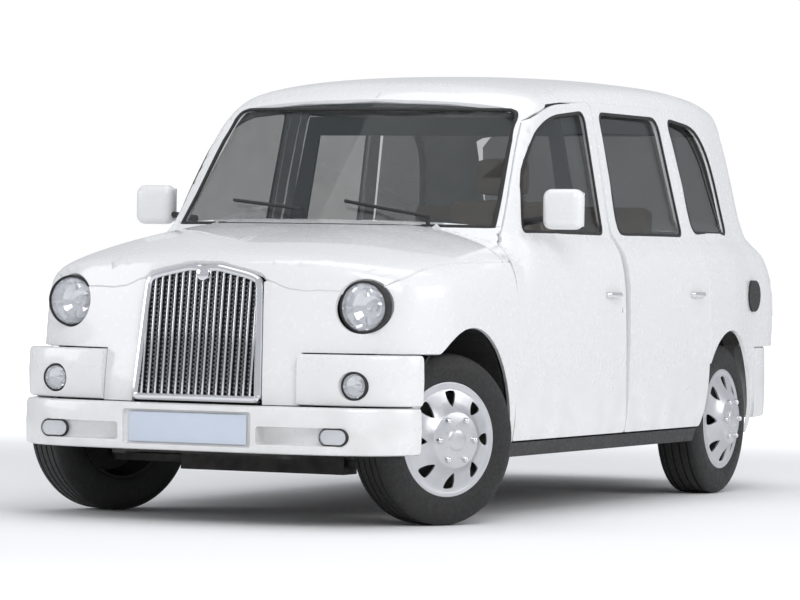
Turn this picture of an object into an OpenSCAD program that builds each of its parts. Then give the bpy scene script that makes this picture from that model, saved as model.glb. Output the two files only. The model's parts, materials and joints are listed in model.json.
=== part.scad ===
// Purpose-built taxi cab: a four-door body on a ladder frame, with steered front wheels.
// Millimetres, +Z up, nose towards -Y, the vehicle's left side towards +X, ground at z = 0.

/* [Overall] */
// Length over both bumpers
body_length = 4580; // [4300:10:5500]
// Width of the body over the doors
body_width = 1780; // [1600:10:2140]
// Height of the roof above the ground
roof_height = 1834; // [1750:2:2000]
// Distance between the axles
wheelbase = 2886; // [2700:2:3000]
// Distance from the front bumper to the front axle
front_overhang = 715; // [680:5:900]

/* [Wheels] */
// Outer radius of the tyres
tyre_radius = 335; // [300:1:350]
// Width of the tyres
tyre_width = 205; // [165:1:225]
// Radius of the steel rims under the trims
rim_radius = 205; // [180:1:230]
// Distance between the centres of the wheels of one axle
track = 1468; // [1400:2:1500]
// Turn of the front wheels as parked, towards the right
parked_steer = 27; // [0:1:40]
// Distance from the steering axis out to the wheel's centre
steer_offset = 65; // [50:1:80]

/* [Panels] */
// Length of a front door
front_door_length = 1188; // [1150:2:1250]
// Gap around each door and lid
shut_gap = 6; // [5:0.5:10]
// Thickness of a door below its window
door_thickness = 92; // [70:1:110]
// Thickness of the window frames and of the pillars
frame_thickness = 38; // [30:1:45]
// Thickness of the wings, the bonnet and the other outer panels with their stiffening
panel_thickness = 24; // [15:1:30]
// Thickness of the window glass
glass_thickness = 6; // [4:0.5:8]
// Gap left at a rubber seal between a glass and its opening
seal_gap = 0.3; // [0.1:0.1:0.8]
// Radius of the front wheel arches
front_arch_radius = 382; // [360:2:400]
// Radius of the rear wheel arches
rear_arch_radius = 382; // [360:2:400]

/* [Cabin] */
// Height of the cabin floor above the ground
floor_height = 372; // [340:2:400]
// Height of a seat cushion above the floor
seat_height = 380; // [330:5:420]

/* [Lamps] */
// Diameter of a headlamp
headlamp_diameter = 203; // [180:1:230]
// Distance from the middle of the car to a headlamp
headlamp_x = 633; // [600:1:660]
// Height of the headlamps
headlamp_z = 846; // [820:1:860]

/* [Hidden] */

half_w = body_width / 2;
nose_y = -body_length / 2;
tail_y = body_length / 2;
front_y = nose_y + front_overhang;
rear_y = front_y + wheelbase;
// rise of the roof over the height that the tables below are drawn for
roof_rise = roof_height - 1834;
left = 1;
right = -1;
far = 3000;

// stations along the body that the shut lines share
hinge_y = front_y + 435;
split_y = hinge_y + front_door_length;
rear_door_y = rear_y - 301;
screen_y = front_y + 412;
bonnet_y = screen_y - 50;
split_gap = shut_gap + 6;
kingpin_x = track / 2 - steer_offset;
liner_radius = front_arch_radius + 2;
rail_top = floor_height - 20 - seal_gap;
deck_z = 600;
dash_x = 570;
seat_y = rear_y - liner_radius - 28;
bumper_front_y = front_y - liner_radius - 9;
bumper_rear_y = rear_y + liner_radius + 9;
bumper_t = 110;
wheel_x = track / 2;
wheelhouse_x = wheel_x - tyre_width / 2 - 27.5;
// where the window frame of a front door stops turning the corner
corner_end_y = hinge_y + 450;
// outer lip of a rim, from the middle of the tyre
lip_x = tyre_width / 2 - 10.5;

// heights that the panels share
sill_z = 248;
door_z = 314;
nose_z = 668;
gutter_z = 1704 + roof_rise;
boot_z = 1108;
bumper_z = 466;
// places across the car that the panels share
header_x = half_w - 290;
wing_x = half_w - 200;
sill_x = half_w - 130;
corner_x = 420;
// where the tables below give the drop of the crown
crown_x = half_w - 190;
pillar_foot_x = half_w - 149;
pillar_head_x = half_w - 226;
screen_foot_x = half_w - 184;
screen_head_x = half_w - 254;
bumper_x = half_w - 45;
boot_x = header_x - 100;
mirror_x = half_w - 44;
cap_radius = 71.4;

// ---- outer skin -------------------------------------------------------------
// Share of the half width at each height: [z, share]
SIDE = [[240, 0.950], [320, 0.978], [408, 0.992], [560, 0.997], [760, 1.000], [900, 0.998],
    [985, 0.988], [1060, 0.965], [1110, 0.930], [1150, 0.897], [1400, 0.842],
    [1660 + roof_rise, 0.785], [1834 + roof_rise, 0.735]];
// Share of the width along the body: [y, share]
PLAN = [[nose_y, 0.93], [front_y - 375, 0.945], [front_y - 150, 0.985], [front_y + 100, 0.992],
    [hinge_y, 0.995], [0, 1], [rear_y - 400, 1], [rear_y, 0.986], [rear_y + 380, 0.945],
    [tail_y, 0.90]];
// Middle line of the bonnet, carried on under the cabin:
// [y, height, crown drop at crown_x, crown power, sharpness of the edge above the side]
BONNET = [[nose_y, 950, 70, 2.6, 11], [front_y - 569, 1008, 70, 2.6, 11],
    [front_y - 475, 1042, 70, 2.6, 11], [front_y - 325, 1078, 70, 2.6, 11],
    [front_y - 125, 1118, 70, 2.6, 11], [front_y + 121, 1156, 70, 2.6, 11],
    [screen_y, 1187, 74, 2.6, 11], [tail_y, 1187, 90, 2.6, 11]];
// Middle line of the windscreen and the roof, with the same columns
CABIN = [[screen_y - 1, 600, 180, 2, 18], [screen_y, 1187, 180, 2, 18],
    [screen_y + 180, 1359 + 0.34 * roof_rise, 172, 2, 18],
    [screen_y + 528, 1692 + roof_rise, 88, 2.1, 18], [screen_y + 600, 1732 + roof_rise, 76, 2.4, 18],
    [screen_y + 720, 1771 + roof_rise, 62, 2.6, 12], [screen_y + 960, 1800 + roof_rise, 58, 2.6, 9],
    [screen_y + 1400, 1824 + roof_rise, 56, 2.6, 9], [screen_y + 1900, 1834 + roof_rise, 56, 2.6, 9],
    [screen_y + 2200, 1833 + roof_rise, 56, 2.6, 9], [screen_y + 2560, 1818 + roof_rise, 60, 2.6, 9],
    [screen_y + 2820, 1788 + roof_rise, 66, 2.6, 9], [tail_y, 1690 + roof_rise, 70, 2.6, 9]];
// Place of the nose's middle line at each height
NOSE = [[240, nose_y + 60], [472, nose_y + 66], [700, nose_y + 95], [900, nose_y + 122],
    [1000, nose_y + 142], [1050, nose_y + 160], [2000, nose_y + 1400]];
// Place of the tail's middle line at each height
TAIL = [[240, tail_y - 90], [640, tail_y - 78], [780, tail_y - 72], [950, tail_y - 86],
    [1050, tail_y - 140], [1100, tail_y - 205], [1125, tail_y - 268],
    [1660 + roof_rise, tail_y - 492], [1760 + roof_rise, tail_y - 560],
    [1860 + roof_rise, tail_y - 900]];
nose_sweep = 250;
tail_sweep = 150;

function column(table, n) = [for (row = table) [row[0], row[n]]];
function side_x(y, z, t) = half_w * lookup(z, SIDE) * lookup(y, PLAN) - t;
function top_x(table, y, z, t) = crown_x * pow(max(0, lookup(y, column(table, 1)) - t - z)
    / lookup(y, column(table, 2)), 1 / lookup(y, column(table, 3)));
function nose_x(y, z, t) = half_w * pow(max(0, y - t - lookup(z, NOSE)) / nose_sweep, 1 / 2.1);
function tail_x(y, z, t) = half_w * pow(max(0, lookup(z, TAIL) - t - y) / tail_sweep, 1 / 2.4);
function soft_min(v, power) = min(v) < 1 ? 0
    : pow([for (x = v) pow(x, -power)] * [for (x = v) 1], -1 / power);
// Half width of the body at station y and height z, at depth t under the outer face
function skin_x(y, z, t) = max([for (table = [BONNET, CABIN])
    soft_min([side_x(y, z, t), top_x(table, y, z, t), nose_x(y, z, t), tail_x(y, z, t)],
        lookup(y, column(table, 4)))]);
// Greatest height at station y, found by halving
function top_z(y, t, lo, hi, n = 16) = n == 0 ? lo
    : skin_x(y, (lo + hi) / 2, t) > 0 ? top_z(y, t, (lo + hi) / 2, hi, n - 1)
    : top_z(y, t, lo, (lo + hi) / 2, n - 1);

// Stations of the loft, closer together where the plan turns the corner
STATIONS = concat([for (d = [70, 100, 150, 230, 340]) nose_y + d],
    [for (d = [-120, 120]) front_y + d],
    [for (d = [0, 100, 200, 300, 390, 470, 528, 600, 720, 960, 1600, 2200]) screen_y + d],
    [for (d = [800, 600, 490, 400, 310, 230, 150, 95]) tail_y - d]);
RINGS = 12;

// One section of the skin: up the left side, over the top and down the right side
function section(y, t) = let (top = top_z(y, t, sill_z, 2400))
    let (half = [for (j = [0 : RINGS - 1])
        let (z = sill_z + (top - sill_z) * (1 - pow(1 - j / RINGS, 1.8))) [skin_x(y, z, t), y, z]])
    concat(half, [[0, y, top]], [for (j = [RINGS - 1 : -1 : 0]) [-half[j][0], y, half[j][2]]]);

// Share of the depth by which a station near either end moves inwards
function end_share(y) = max(0, 1 - (y - STATIONS[0]) / 270)
    - max(0, 1 - (STATIONS[len(STATIONS) - 1] - y) / 400);

// Solid bounded by the skin at depth t
module skin(t) {
    sections = [for (y = STATIONS) section(y + t * end_share(y), t)];
    n = len(sections[0]);
    polyhedron([for (ring = sections) each ring],
        concat([[for (j = [n - 1 : -1 : 0]) j]],
            [for (i = [0 : len(sections) - 2], j = [0 : n - 1], half = [0, 1])
                let (a = i * n + j, b = i * n + (j + 1) % n)
                half == 0 ? [a, b, a + n] : [b, b + n, a + n]],
            [[for (j = [0 : n - 1]) (len(sections) - 1) * n + j]]));
}
module layer(t0, t1) {
    difference() {
        skin(t0);
        skin(t1);
    }
}
// Prism along X over an outline in y and z
module side_prism(points, x0, x1)
    translate([x0, 0, 0]) rotate([90, 0, 90]) linear_extrude(x1 - x0) polygon(points);

// Prism along Y over an outline in x and z
module front_prism(points, y0, y1)
    translate([0, y1, 0]) rotate([90, 0, 0]) linear_extrude(y1 - y0) polygon(points);

module block(low, high) translate(low) cube(high - low);

// Keeps one joined mesh for a pressed panel
module pressing() resize([0, 0, 0]) children();

module on_side(side) mirror([side < 0 ? 1 : 0, 0, 0]) children();
module both_sides() {
    children();
    mirror([1, 0, 0]) children();
}

function arch(y, radius, z) = concat([[y + radius, 0]],
    [for (a = [0 : 10 : 180]) [y + radius * cos(a), z + 1.136 * radius * sin(a)]], [[y - radius, 0]]);
function grown(points, c, d) = [for (p = points) p + d * (p - c) / norm(p - c)];

// ---- outlines in y and z ------------------------------------------------------
FRONT_WINDOW = [[hinge_y + 250, 1149], [hinge_y + 340, 1384], [hinge_y + 430, 1482],
    [hinge_y + 524, 1556 + roof_rise], [hinge_y + 640, 1603 + roof_rise],
    [hinge_y + 758, 1632 + roof_rise], [split_y - 102, 1661 + roof_rise], [split_y - 102, 1148]];
REAR_WINDOW = [[split_y + 78, 1150], [split_y + 68, 1662 + roof_rise],
    [rear_door_y - 224, 1662 + roof_rise], [rear_door_y - 136, 1150]];
QUARTER_WINDOW = [[rear_door_y + 12, 1166], [rear_door_y - 96, 1664 + roof_rise],
    [rear_door_y + 230, 1638 + roof_rise], [rear_door_y + 330, 1570 + roof_rise],
    [rear_door_y + 400, 1480], [rear_door_y + 490, 1200], [rear_door_y + 476, 1166]];
FRONT_DOOR = [[hinge_y, door_z], [hinge_y, 1028], [hinge_y + 130, 1120], [hinge_y + 150, 1240],
    [hinge_y + 270, 1420], [hinge_y + 450, 1590 + roof_rise], [hinge_y + 740, 1680 + roof_rise],
    [split_y - split_gap, gutter_z], [split_y - split_gap, door_z]];
REAR_DOOR_CUT = [[split_y - 100, door_z - 80], [split_y - 100, gutter_z + 10],
    [rear_door_y - 157, gutter_z + 10], [rear_door_y - 57, 1152], [rear_door_y - 2, 802],
    [rear_door_y + 8, 600], [rear_door_y, 498], [rear_door_y - 30, 396], [rear_door_y - 70, door_z - 80]];
REAR_DOOR = [[split_y, door_z], [split_y, gutter_z], [rear_door_y - 164, gutter_z],
    [rear_door_y - 65, 1150], [rear_door_y - 10, 800], [rear_door_y, 600],
    [rear_door_y - 8, 500], [rear_door_y - 38, 400], [rear_door_y - 78, door_z]];
function shut_line(gap) = [[nose_y - 10, 909 - gap], [front_y - 480, 909 - gap],
    [front_y - 400, 950 - gap], [front_y - 225, 1000 - gap], [front_y - 40, 1020 - gap],
    [hinge_y + 200, 1032 - gap]];

// Windscreen seen from the front: half outline in x and z
function screen_half(d) = [[0, 1187 - d], [400, 1183 - d], [screen_foot_x + d, 1164 - d],
    [screen_foot_x - 34 + d, 1400], [screen_head_x + d, 1640 + d + roof_rise],
    [screen_head_x - 76, 1662 + d + roof_rise], [300, 1684 + d + roof_rise], [0, 1692 + d + roof_rise]];
// Edge between the windscreen pillar and the frame of a front door, seen from the front
function pillar_line(d, z0) = [[pillar_foot_x + d, z0], [pillar_foot_x + d, 1150],
    [pillar_head_x + d, 1650 + roof_rise], [pillar_head_x - 104 + d, gutter_z + 30],
    [far, gutter_z + 30], [far, z0]];
module screen_prism(d) both_sides() front_prism(screen_half(d), screen_y - 60, screen_y + 640);
function rear_screen_half(d) = [[0, 1180 - d], [header_x - 40 + d, 1180 - d], [header_x + d, 1230],
    [header_x - 40 + d, 1560 + roof_rise], [header_x - 100 + d, 1620 + d + roof_rise],
    [0, 1630 + d + roof_rise]];
module rear_screen_prism(d) both_sides() front_prism(rear_screen_half(d), tail_y - 700, tail_y);

// Outline of a grille opening seen from the front, grown by d
function grille_half(d) = [[0, 472 - d], [279 + d, 472 - d], [251 + d, 940 + d], [232 + d, 962 + d],
    [190, 975 + d], [110, 992 + d], [60, 1004 + d], [0, 1004 + d]];
module grille_prism(d) {
    both_sides() front_prism(grille_half(d), nose_y, front_y - 300);
    block([-279 - d, nose_y, bumper_z - 20], [279 + d, front_y - 300, 480]);
}
// Half of a plan curve that turns the corner of a bumper, from the middle to the side
function corner_curve(w, b, y) = [for (a = [0 : 6 : 90]) [w * sqrt(sin(a)), y + b * cos(a)]];
module bumper_ring(w, b, y, t, z0, z1)
    both_sides() translate([0, 0, z0]) linear_extrude(z1 - z0)
        polygon(concat(corner_curve(w, b, y), [for (i = [15 : -1 : 0])
            corner_curve(w - t * 0.5, b - sign(b) * t, y)[i]]));
module headlamp_prism(d) both_sides()
    translate([headlamp_x, nose_y + 460, headlamp_z]) rotate([90, 0, 0])
        cylinder(d = headlamp_diameter + 2 * d, h = 460, $fn = 48);
module bar(p, q, r) {
    v = q - p;
    translate(p) rotate([0, acos(v[2] / norm(v)), atan2(v[1], v[0])])
        cylinder(r = r, h = norm(v), $fn = 24);
}

// ---- body panels ----------------------------------------------------------------
module roof() {
    color("white") pressing() difference() {
        intersection() {
            layer(0, frame_thickness);
            union() {
                block([-far, screen_y + 400, gutter_z + shut_gap], [far, tail_y - 380, 2300]);
                for (y = [screen_y + 400, tail_y - 680])
                    block([-header_x, y, 1600 + roof_rise], [header_x, y + 300, gutter_z + 20]);
            }
        }
        screen_prism(seal_gap);
        rear_screen_prism(seal_gap);
    }
}

// Side of the body: pillars, sill and rear quarter in one pressing
module body_side(side) {
    color("white") pressing() on_side(side) {
        difference() {
            union() {
                intersection() {
                    layer(0, frame_thickness);
                    union() {
                        block([header_x + seal_gap, screen_y, 1168 + seal_gap],
                            [far, split_y, gutter_z + shut_gap - seal_gap]);
                        block([header_x + seal_gap, split_y, 1100],
                            [far, tail_y - 50, gutter_z + shut_gap - seal_gap]);
                    }
                }
                intersection() {
                    layer(0, door_thickness);
                    block([header_x + seal_gap, split_y + 300, sill_z + 20], [far, tail_y - 40, 1150]);
                }
            }
            intersection() {
                side_prism(grown(FRONT_DOOR, [hinge_y + 600, 900], shut_gap + 2), 300, far);
                front_prism(pillar_line(-shut_gap, sill_z - 50), hinge_y - 100, split_y + 100);
            }
            side_prism(REAR_DOOR_CUT, 300, far);
            boot_prism(shut_gap);
            side_prism(QUARTER_WINDOW, 300, far);
            side_prism(arch(rear_y, rear_arch_radius, 299), 300, far);
            block([header_x, bumper_rear_y - seal_gap, 0], [far, far, 652 + seal_gap]);
            screen_prism(seal_gap);
            translate([half_w - 150, rear_y + 349, 886]) rotate([0, 90, 0])
                cylinder(r = (cap_radius + seal_gap) / cos(180 / 32), h = 300, $fn = 32);
            tail_lamp_block(seal_gap);
        }
        intersection() {
            layer(door_thickness + shut_gap + 5, door_thickness + shut_gap + 45);
            block([300, split_y - 70, sill_z], [far, split_y + 50, gutter_z - 60]);
        }
        intersection() {
            skin(0);
            block([sill_x, hinge_y - shut_gap - 1 + seal_gap, sill_z],
                [far, rear_y - liner_radius - 10, door_z - shut_gap]);
        }
        block([sill_x - 60, hinge_y - 40, sill_z],
            [sill_x + 1, rear_y - liner_radius - 10, door_z - shut_gap]);
        block([sill_x - 80, hinge_y - 40, sill_z], [sill_x - 6, rear_y - liner_radius - 10, rail_top]);
        intersection() {
            skin(panel_thickness + seal_gap);
            block([sill_x - 60, hinge_y - 40, sill_z], [far, hinge_y - shut_gap - 2, 1000]);
        }
    }
}
module tail_lamp_block(d)
    block([header_x + 30 - d, tail_y - 500, 700 - d], [header_x + 152 + d, tail_y, 990 + d]);

module rear_panel() {
    color("white") pressing() difference() {
        intersection() {
            layer(0, panel_thickness);
            block([-header_x, tail_y - 420, 652 + seal_gap], [header_x, tail_y, 1190]);
        }
        boot_prism(shut_gap);
        rear_screen_prism(seal_gap);
    }
}
module boot_prism(d)
    front_prism([[-boot_x - d, 672 - d], [boot_x + d, 672 - d], [boot_x + 20 + d, 900],
        [boot_x + d, boot_z + d], [-boot_x - d, boot_z + d], [-boot_x - 20 - d, 900]],
        tail_y - 400, tail_y);
module boot_lid() {
    color("white") pressing() intersection() {
        layer(0, panel_thickness);
        boot_prism(0);
    }
}

module scuttle() {
    color("white") pressing() difference() {
        intersection() {
            layer(0, panel_thickness);
            block([-far, bonnet_y + shut_gap, 1028], [far, screen_y + 260, 1300]);
        }
        side_prism(concat(shut_line(shut_gap - seal_gap), [[hinge_y + 200, 900], [nose_y, 900]]), -far, far);
        intersection() {
            side_prism(grown(FRONT_DOOR, [hinge_y + 600, 900], shut_gap + 2), -far, far);
            both_sides() block([560, hinge_y - 50, 0], [far, far, 2000]);
        }
        both_sides() block([header_x, screen_y, 1168], [far, far, 2000]);
        block([-header_x, screen_y + 200, 900], [header_x, far, 1300]);
        screen_prism(seal_gap);
    }
}

module front_wing(side) {
    color("white") pressing() on_side(side) difference() {
        intersection() {
            layer(0, panel_thickness);
            block([wing_x, nose_y + 60, sill_z], [far, hinge_y - shut_gap - 1, 1100]);
        }
        side_prism(concat(shut_line(shut_gap), [[hinge_y + 200, 1300], [nose_y, 1300]]), 0, far);
        side_prism(arch(front_y, front_arch_radius, 335), 300, far);
        block([0, nose_y, 0], [far, front_y, nose_z + seal_gap]);
        headlamp_prism(seal_gap);
    }
}
module nose_panel() {
    color("white") pressing() difference() {
        intersection() {
            layer(0, panel_thickness);
            block([-wing_x + seal_gap, nose_y + 60, bumper_z + seal_gap],
                [wing_x - seal_gap, front_y - 260, 909 - shut_gap]);
        }
        both_sides() block([corner_x - seal_gap, nose_y, 0], [far, far, nose_z + seal_gap]);
        grille_prism(seal_gap);
        headlamp_prism(seal_gap);
    }
}
module bonnet() {
    color("white") pressing() difference() {
        intersection() {
            layer(0, panel_thickness);
            side_prism(concat(shut_line(0), [[hinge_y + 200, 1300], [nose_y, 1300]]), -far, far);
            block([-far, nose_y, 900], [far, bonnet_y, 1300]);
        }
        grille_prism(shut_gap);
        headlamp_prism(shut_gap);
    }
}

// ---- doors ------------------------------------------------------------------------
// Opening of a side window, cut short in front where the door frame turns the corner
module window_prism(window, d) intersection() {
    side_prism(window, 300, far);
    union() {
        front_prism(pillar_line(13 + d, sill_z), -far, far);
        block([300, corner_end_y, 0], [far, far, far]);
    }
}
module door(outline, window, side) {
    on_side(side) pressing() difference() {
        union() {
            intersection() {
                layer(0, frame_thickness);
                side_prism(outline, 300, far);
                front_prism(pillar_line(0, sill_z - 50), -far, far);
            }
            intersection() {
                layer(0, door_thickness);
                side_prism(outline, 300, far);
                block([300, -far, 0], [far, far, 1128]);
            }
        }
        window_prism(window, -seal_gap);
        side_prism(arch(rear_y, rear_arch_radius, 299), 300, far);
    }
}
module door_front(side) color("white") door(FRONT_DOOR, FRONT_WINDOW, side);
module door_rear(side) color("white") door(REAR_DOOR, REAR_WINDOW, side);
module glass(window, side) {
    middle = [for (k = [0, 1]) (window[0][k] + window[len(window) - 2][k]) / 2];
    color([0.75, 0.85, 0.85, 0.4]) on_side(side) pressing() intersection() {
        layer(frame_thickness / 2, frame_thickness / 2 + glass_thickness);
        window_prism(grown(window, middle, -seal_gap), 0);
    }
}
module glass_front(side) glass(FRONT_WINDOW, side);
module glass_rear(side) glass(REAR_WINDOW, side);
module quarter_windows() {
    glass(QUARTER_WINDOW, left);
    glass(QUARTER_WINDOW, right);
}
module windscreen() {
    color([0.75, 0.85, 0.85, 0.4]) pressing() intersection() {
        layer(8, 8 + glass_thickness);
        screen_prism(0);
    }
}
module rear_window() {
    color([0.75, 0.85, 0.85, 0.4]) pressing() intersection() {
        layer(8, 8 + glass_thickness);
        rear_screen_prism(0);
    }
}
module mirror_arm(side) {
    color("white") on_side(side) pressing() difference() {
        union() {
            block([mirror_x - 1, hinge_y + 290, 1160], [mirror_x + 169, hinge_y + 380, 1325]);
            block([mirror_x - 146, hinge_y + 255, 1122], [mirror_x, hinge_y + 320, 1180]);
            block([mirror_x - 46, hinge_y + 291, 1122], [mirror_x + 54, hinge_y + 320, 1180]);
        }
        skin(-seal_gap);
    }
}

// ---- nose and bumpers ---------------------------------------------------------------
module grille() {
    lean = atan(66 / 531);
    color("silver") translate([0, nose_y + 78, 472]) rotate([-lean, 0, 0]) translate([0, 0, -472]) {
        difference() {
            both_sides() front_prism(grille_half(0), 0, 30);
            both_sides() front_prism(grille_half(-30), -10, 18);
        }
        for (x = [-240 : 30 : 240]) block([x - 5, 2, 505], [x + 5, 18, 935]);
    }
}
module front_bumper() {
    color("white") difference() {
        bumper_ring(bumper_x, nose_y - bumper_front_y, bumper_front_y, bumper_t, 285, bumper_z);
        block([-256, nose_y - 10, 312], [256, nose_y + 30, 438]);
        both_sides() block([296, nose_y, 318], [720, nose_y + 100, 391]);
    }
}
module bumper_corners() {
    color("white") difference() {
        bumper_ring(bumper_x + 7, nose_y + 88 - bumper_front_y, bumper_front_y, 90,
            bumper_z + seal_gap, nose_z);
        block([-corner_x, nose_y, 0], [corner_x, front_y, 1000]);
        both_sides() translate([645, nose_y + 250, 547]) rotate([90, 0, 0]) cylinder(r = 55, h = 250, $fn = 40);
    }
}
module headlamps() {
    color("lightgray") both_sides() translate([headlamp_x, nose_y + 235, headlamp_z]) rotate([-90, 0, 0])
        cylinder(d = headlamp_diameter, h = 110, $fn = 48);
}
module front_indicators() {
    color("white") both_sides() translate([645, nose_y + 210, 547]) rotate([90, 0, 0])
        cylinder(r = 54.7, h = 80, $fn = 40);
}
module fog_lamps() {
    color("white") both_sides() translate([0, nose_y + 84, 354.5]) rotate([90, 0, 0])
        for (x = [575, 625]) translate([x, 0, 0]) cylinder(r = 36, h = 20, $fn = 32);
}
module number_plates() {
    color("lightblue") block([-252, nose_y + 24, 316], [252, nose_y + 29.7, 430]);
    color("gold") block([-260, tail_y - 12 + seal_gap, 500], [260, tail_y - 5, 611]);
}
module rear_bumper() {
    color("white") difference() {
        bumper_ring(bumper_x, tail_y - bumper_rear_y, bumper_rear_y, bumper_t, 330, 652);
        block([-262, tail_y - 12, 494], [262, tail_y + 1, 617]);
    }
}
module tail_lamps() {
    color("red") pressing() both_sides() intersection() {
        layer(-8, 60);
        tail_lamp_block(0);
    }
}
module fuel_cap() {
    color("black") on_side(left) translate([half_w - 118, rear_y + 349, 886]) rotate([0, 90, 0])
        cylinder(r = cap_radius, h = 85, $fn = 32);
}
function bonnet_z(x, y) = lookup(y, column(BONNET, 1))
    - lookup(y, column(BONNET, 2)) * pow(abs(x) / crown_x, lookup(y, column(BONNET, 3)));
function glass_y(x, z) = screen_y + (z - 1187 + 176 * pow(x / crown_x, 2)) / 0.955;
module wipers() {
    color("black") pressing() difference() {
        for (foot = [[-60, screen_y - 26], [480, screen_y + 20]]) wiper(foot[0], foot[1]);
        skin(-seal_gap);
    }
}
module wiper(x, y) {
    foot = [x, y, bonnet_z(x, y) - 25];
    knee = foot + [0, 4, 68];
    tip = [x - 390, glass_y(x - 390, 1262) - 16, 1262];
    bar(foot, knee, 9);
    bar(knee, tip, 7);
}

// ---- frame and running gear ----------------------------------------------------------
// Inner face of the rear bumper at a place across the car
function rear_bumper_y(x) = bumper_rear_y + (tail_y - bumper_rear_y - bumper_t)
    * sqrt(1 - pow(x / (bumper_x - bumper_t / 2), 4));
module frame_rails() {
    rail_end_y = rear_bumper_y(386) - 36;
    riser_y = rear_y - liner_radius - 8 + seal_gap;
    color("dimgray") {
        both_sides() {
            block([330, nose_y + 130, 262], [385, riser_y + 50, rail_top]);
            block([330, riser_y, 262], [385, riser_y + 50, deck_z - 20 - seal_gap]);
            block([330, riser_y, 500], [385, rail_end_y, deck_z - 20 - seal_gap]);
        }
        for (y = [nose_y + 130, front_y - 60, hinge_y, 0])
            block([-386, y, 270], [386, y + 60, rail_top]);
        block([-40, nose_y + bumper_t + 0.5, rail_top - 61], [40, nose_y + 131, rail_top]);
        block([-386, rail_end_y - 50, 500], [386, rail_end_y, 560]);
        block([-40, rail_end_y - 1, 500], [40, tail_y - bumper_t - 0.5, 560]);
    }
}
module floor_pan() {
    end_y = rear_y - liner_radius - 8;
    color("dimgray") {
        block([60 + seal_gap - sill_x, hinge_y - 20 + seal_gap, floor_height - 20],
            [sill_x - 60 - seal_gap, end_y, floor_height]);
        block([-wheelhouse_x + seal_gap, end_y - 20, floor_height - 20],
            [wheelhouse_x - seal_gap, end_y, deck_z]);
        block([-wheelhouse_x + seal_gap, end_y - 20, deck_z - 20],
            [wheelhouse_x - seal_gap, rear_bumper_y(wheelhouse_x) - 15, deck_z]);
    }
}
module arch_ring(y, z, x0, x1) difference() {
    side_prism(arch(y, liner_radius + 8, z), x0, x1);
    side_prism(arch(y, liner_radius, z), x0 - 1, x1 + 1);
    block([x0 - 1, y - 500, -1], [x1 + 1, y + 500, sill_z + 20]);
}
module front_wheelhouses() {
    color("black") both_sides() pressing() intersection() {
        arch_ring(front_y, 335, 395, far);
        skin(panel_thickness + seal_gap);
    }
}
module rear_wheelhouses() {
    color("black") both_sides() pressing() {
        intersection() {
            arch_ring(rear_y, 299, wheelhouse_x, far);
            skin(door_thickness + shut_gap);
        }
        difference() {
            side_prism(arch(rear_y, liner_radius + 1, 299), wheelhouse_x, wheelhouse_x + 8);
            block([0, rear_y - 500, -1], [far, rear_y + 500, sill_z + 20]);
            translate([0, rear_y, tyre_radius]) rotate([0, 90, 0]) cylinder(r = 70, h = far, $fn = 32);
        }
    }
}
module front_axle() {
    color("dimgray") {
        block([-360, front_y - 60, 180], [360, front_y + 60, 262 - seal_gap]);
        both_sides() {
            block([359, front_y - 25, 205], [kingpin_x, front_y + 25, 235]);
            translate([kingpin_x, front_y, 205]) cylinder(r = 32, h = 30, $fn = 40);
            block([386 + seal_gap, front_y - 30, 262], [410, front_y + 30, 470]);
            block([386 + seal_gap, front_y - 30, 440], [420, front_y + 30, 470]);
            block([409, front_y - 20, 445], [kingpin_x, front_y + 20, 470]);
            translate([kingpin_x, front_y, 445]) cylinder(r = 26, h = 25, $fn = 40);
        }
    }
}
module knuckle(side) {
    color("gray") {
        translate([side * kingpin_x, front_y, 235.4]) cylinder(r = 28, h = 209.2, $fn = 40);
        translate([side * kingpin_x, front_y, tyre_radius]) rotate([0, side * 90, -parked_steer])
            cylinder(r = 24, h = steer_offset + 60, $fn = 40);
    }
}
module rear_axle() {
    color("dimgray") {
        for (tube = [[24, wheel_x + 60], [42, 615], [115, 90]])
            translate([-tube[1], rear_y, tyre_radius]) rotate([0, 90, 0])
                cylinder(r = tube[0], h = 2 * tube[1], $fn = 48);
        both_sides() block([335, rear_y - 45, tyre_radius], [380, rear_y + 45, 500 - seal_gap]);
    }
}
// Section of a tyre: height above the rim and place across the tread
TYRE = [[0, -88], [28, -96], [70, -103], [110, -97], [130, -84], [130, 84], [110, 97], [70, 103],
    [28, 96], [0, 88]];
module at_wheel(corner, side) {
    if (corner == "front")
        translate([side * kingpin_x, front_y, tyre_radius]) rotate([0, 0, -parked_steer])
            translate([side * steer_offset, 0, 0]) on_side(side) rotate([0, 90, 0]) children();
    else
        translate([side * wheel_x, rear_y, tyre_radius]) on_side(side) rotate([0, 90, 0]) children();
}
module tyre(corner, side)
    color("black") at_wheel(corner, side) rotate_extrude($fn = 96)
        polygon([for (p = TYRE)
            [rim_radius + p[0] * (tyre_radius - rim_radius) / 130, p[1] * tyre_width / 206]]);
module rim(corner, side)
    color("silver") at_wheel(corner, side) rotate_extrude($fn = 96) polygon([
        [24.3, 20], [24.3, lip_x + 58], [60, lip_x + 61], [105, lip_x + 58], [118, lip_x + 36],
        [rim_radius, lip_x + 20], [rim_radius + 20, lip_x + 14], [rim_radius + 20, lip_x + 7],
        [rim_radius - seal_gap, lip_x], [rim_radius - seal_gap, 4 - lip_x],
        [rim_radius - 12, 4 - lip_x], [rim_radius - 12, 40], [60, 20]]);

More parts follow.
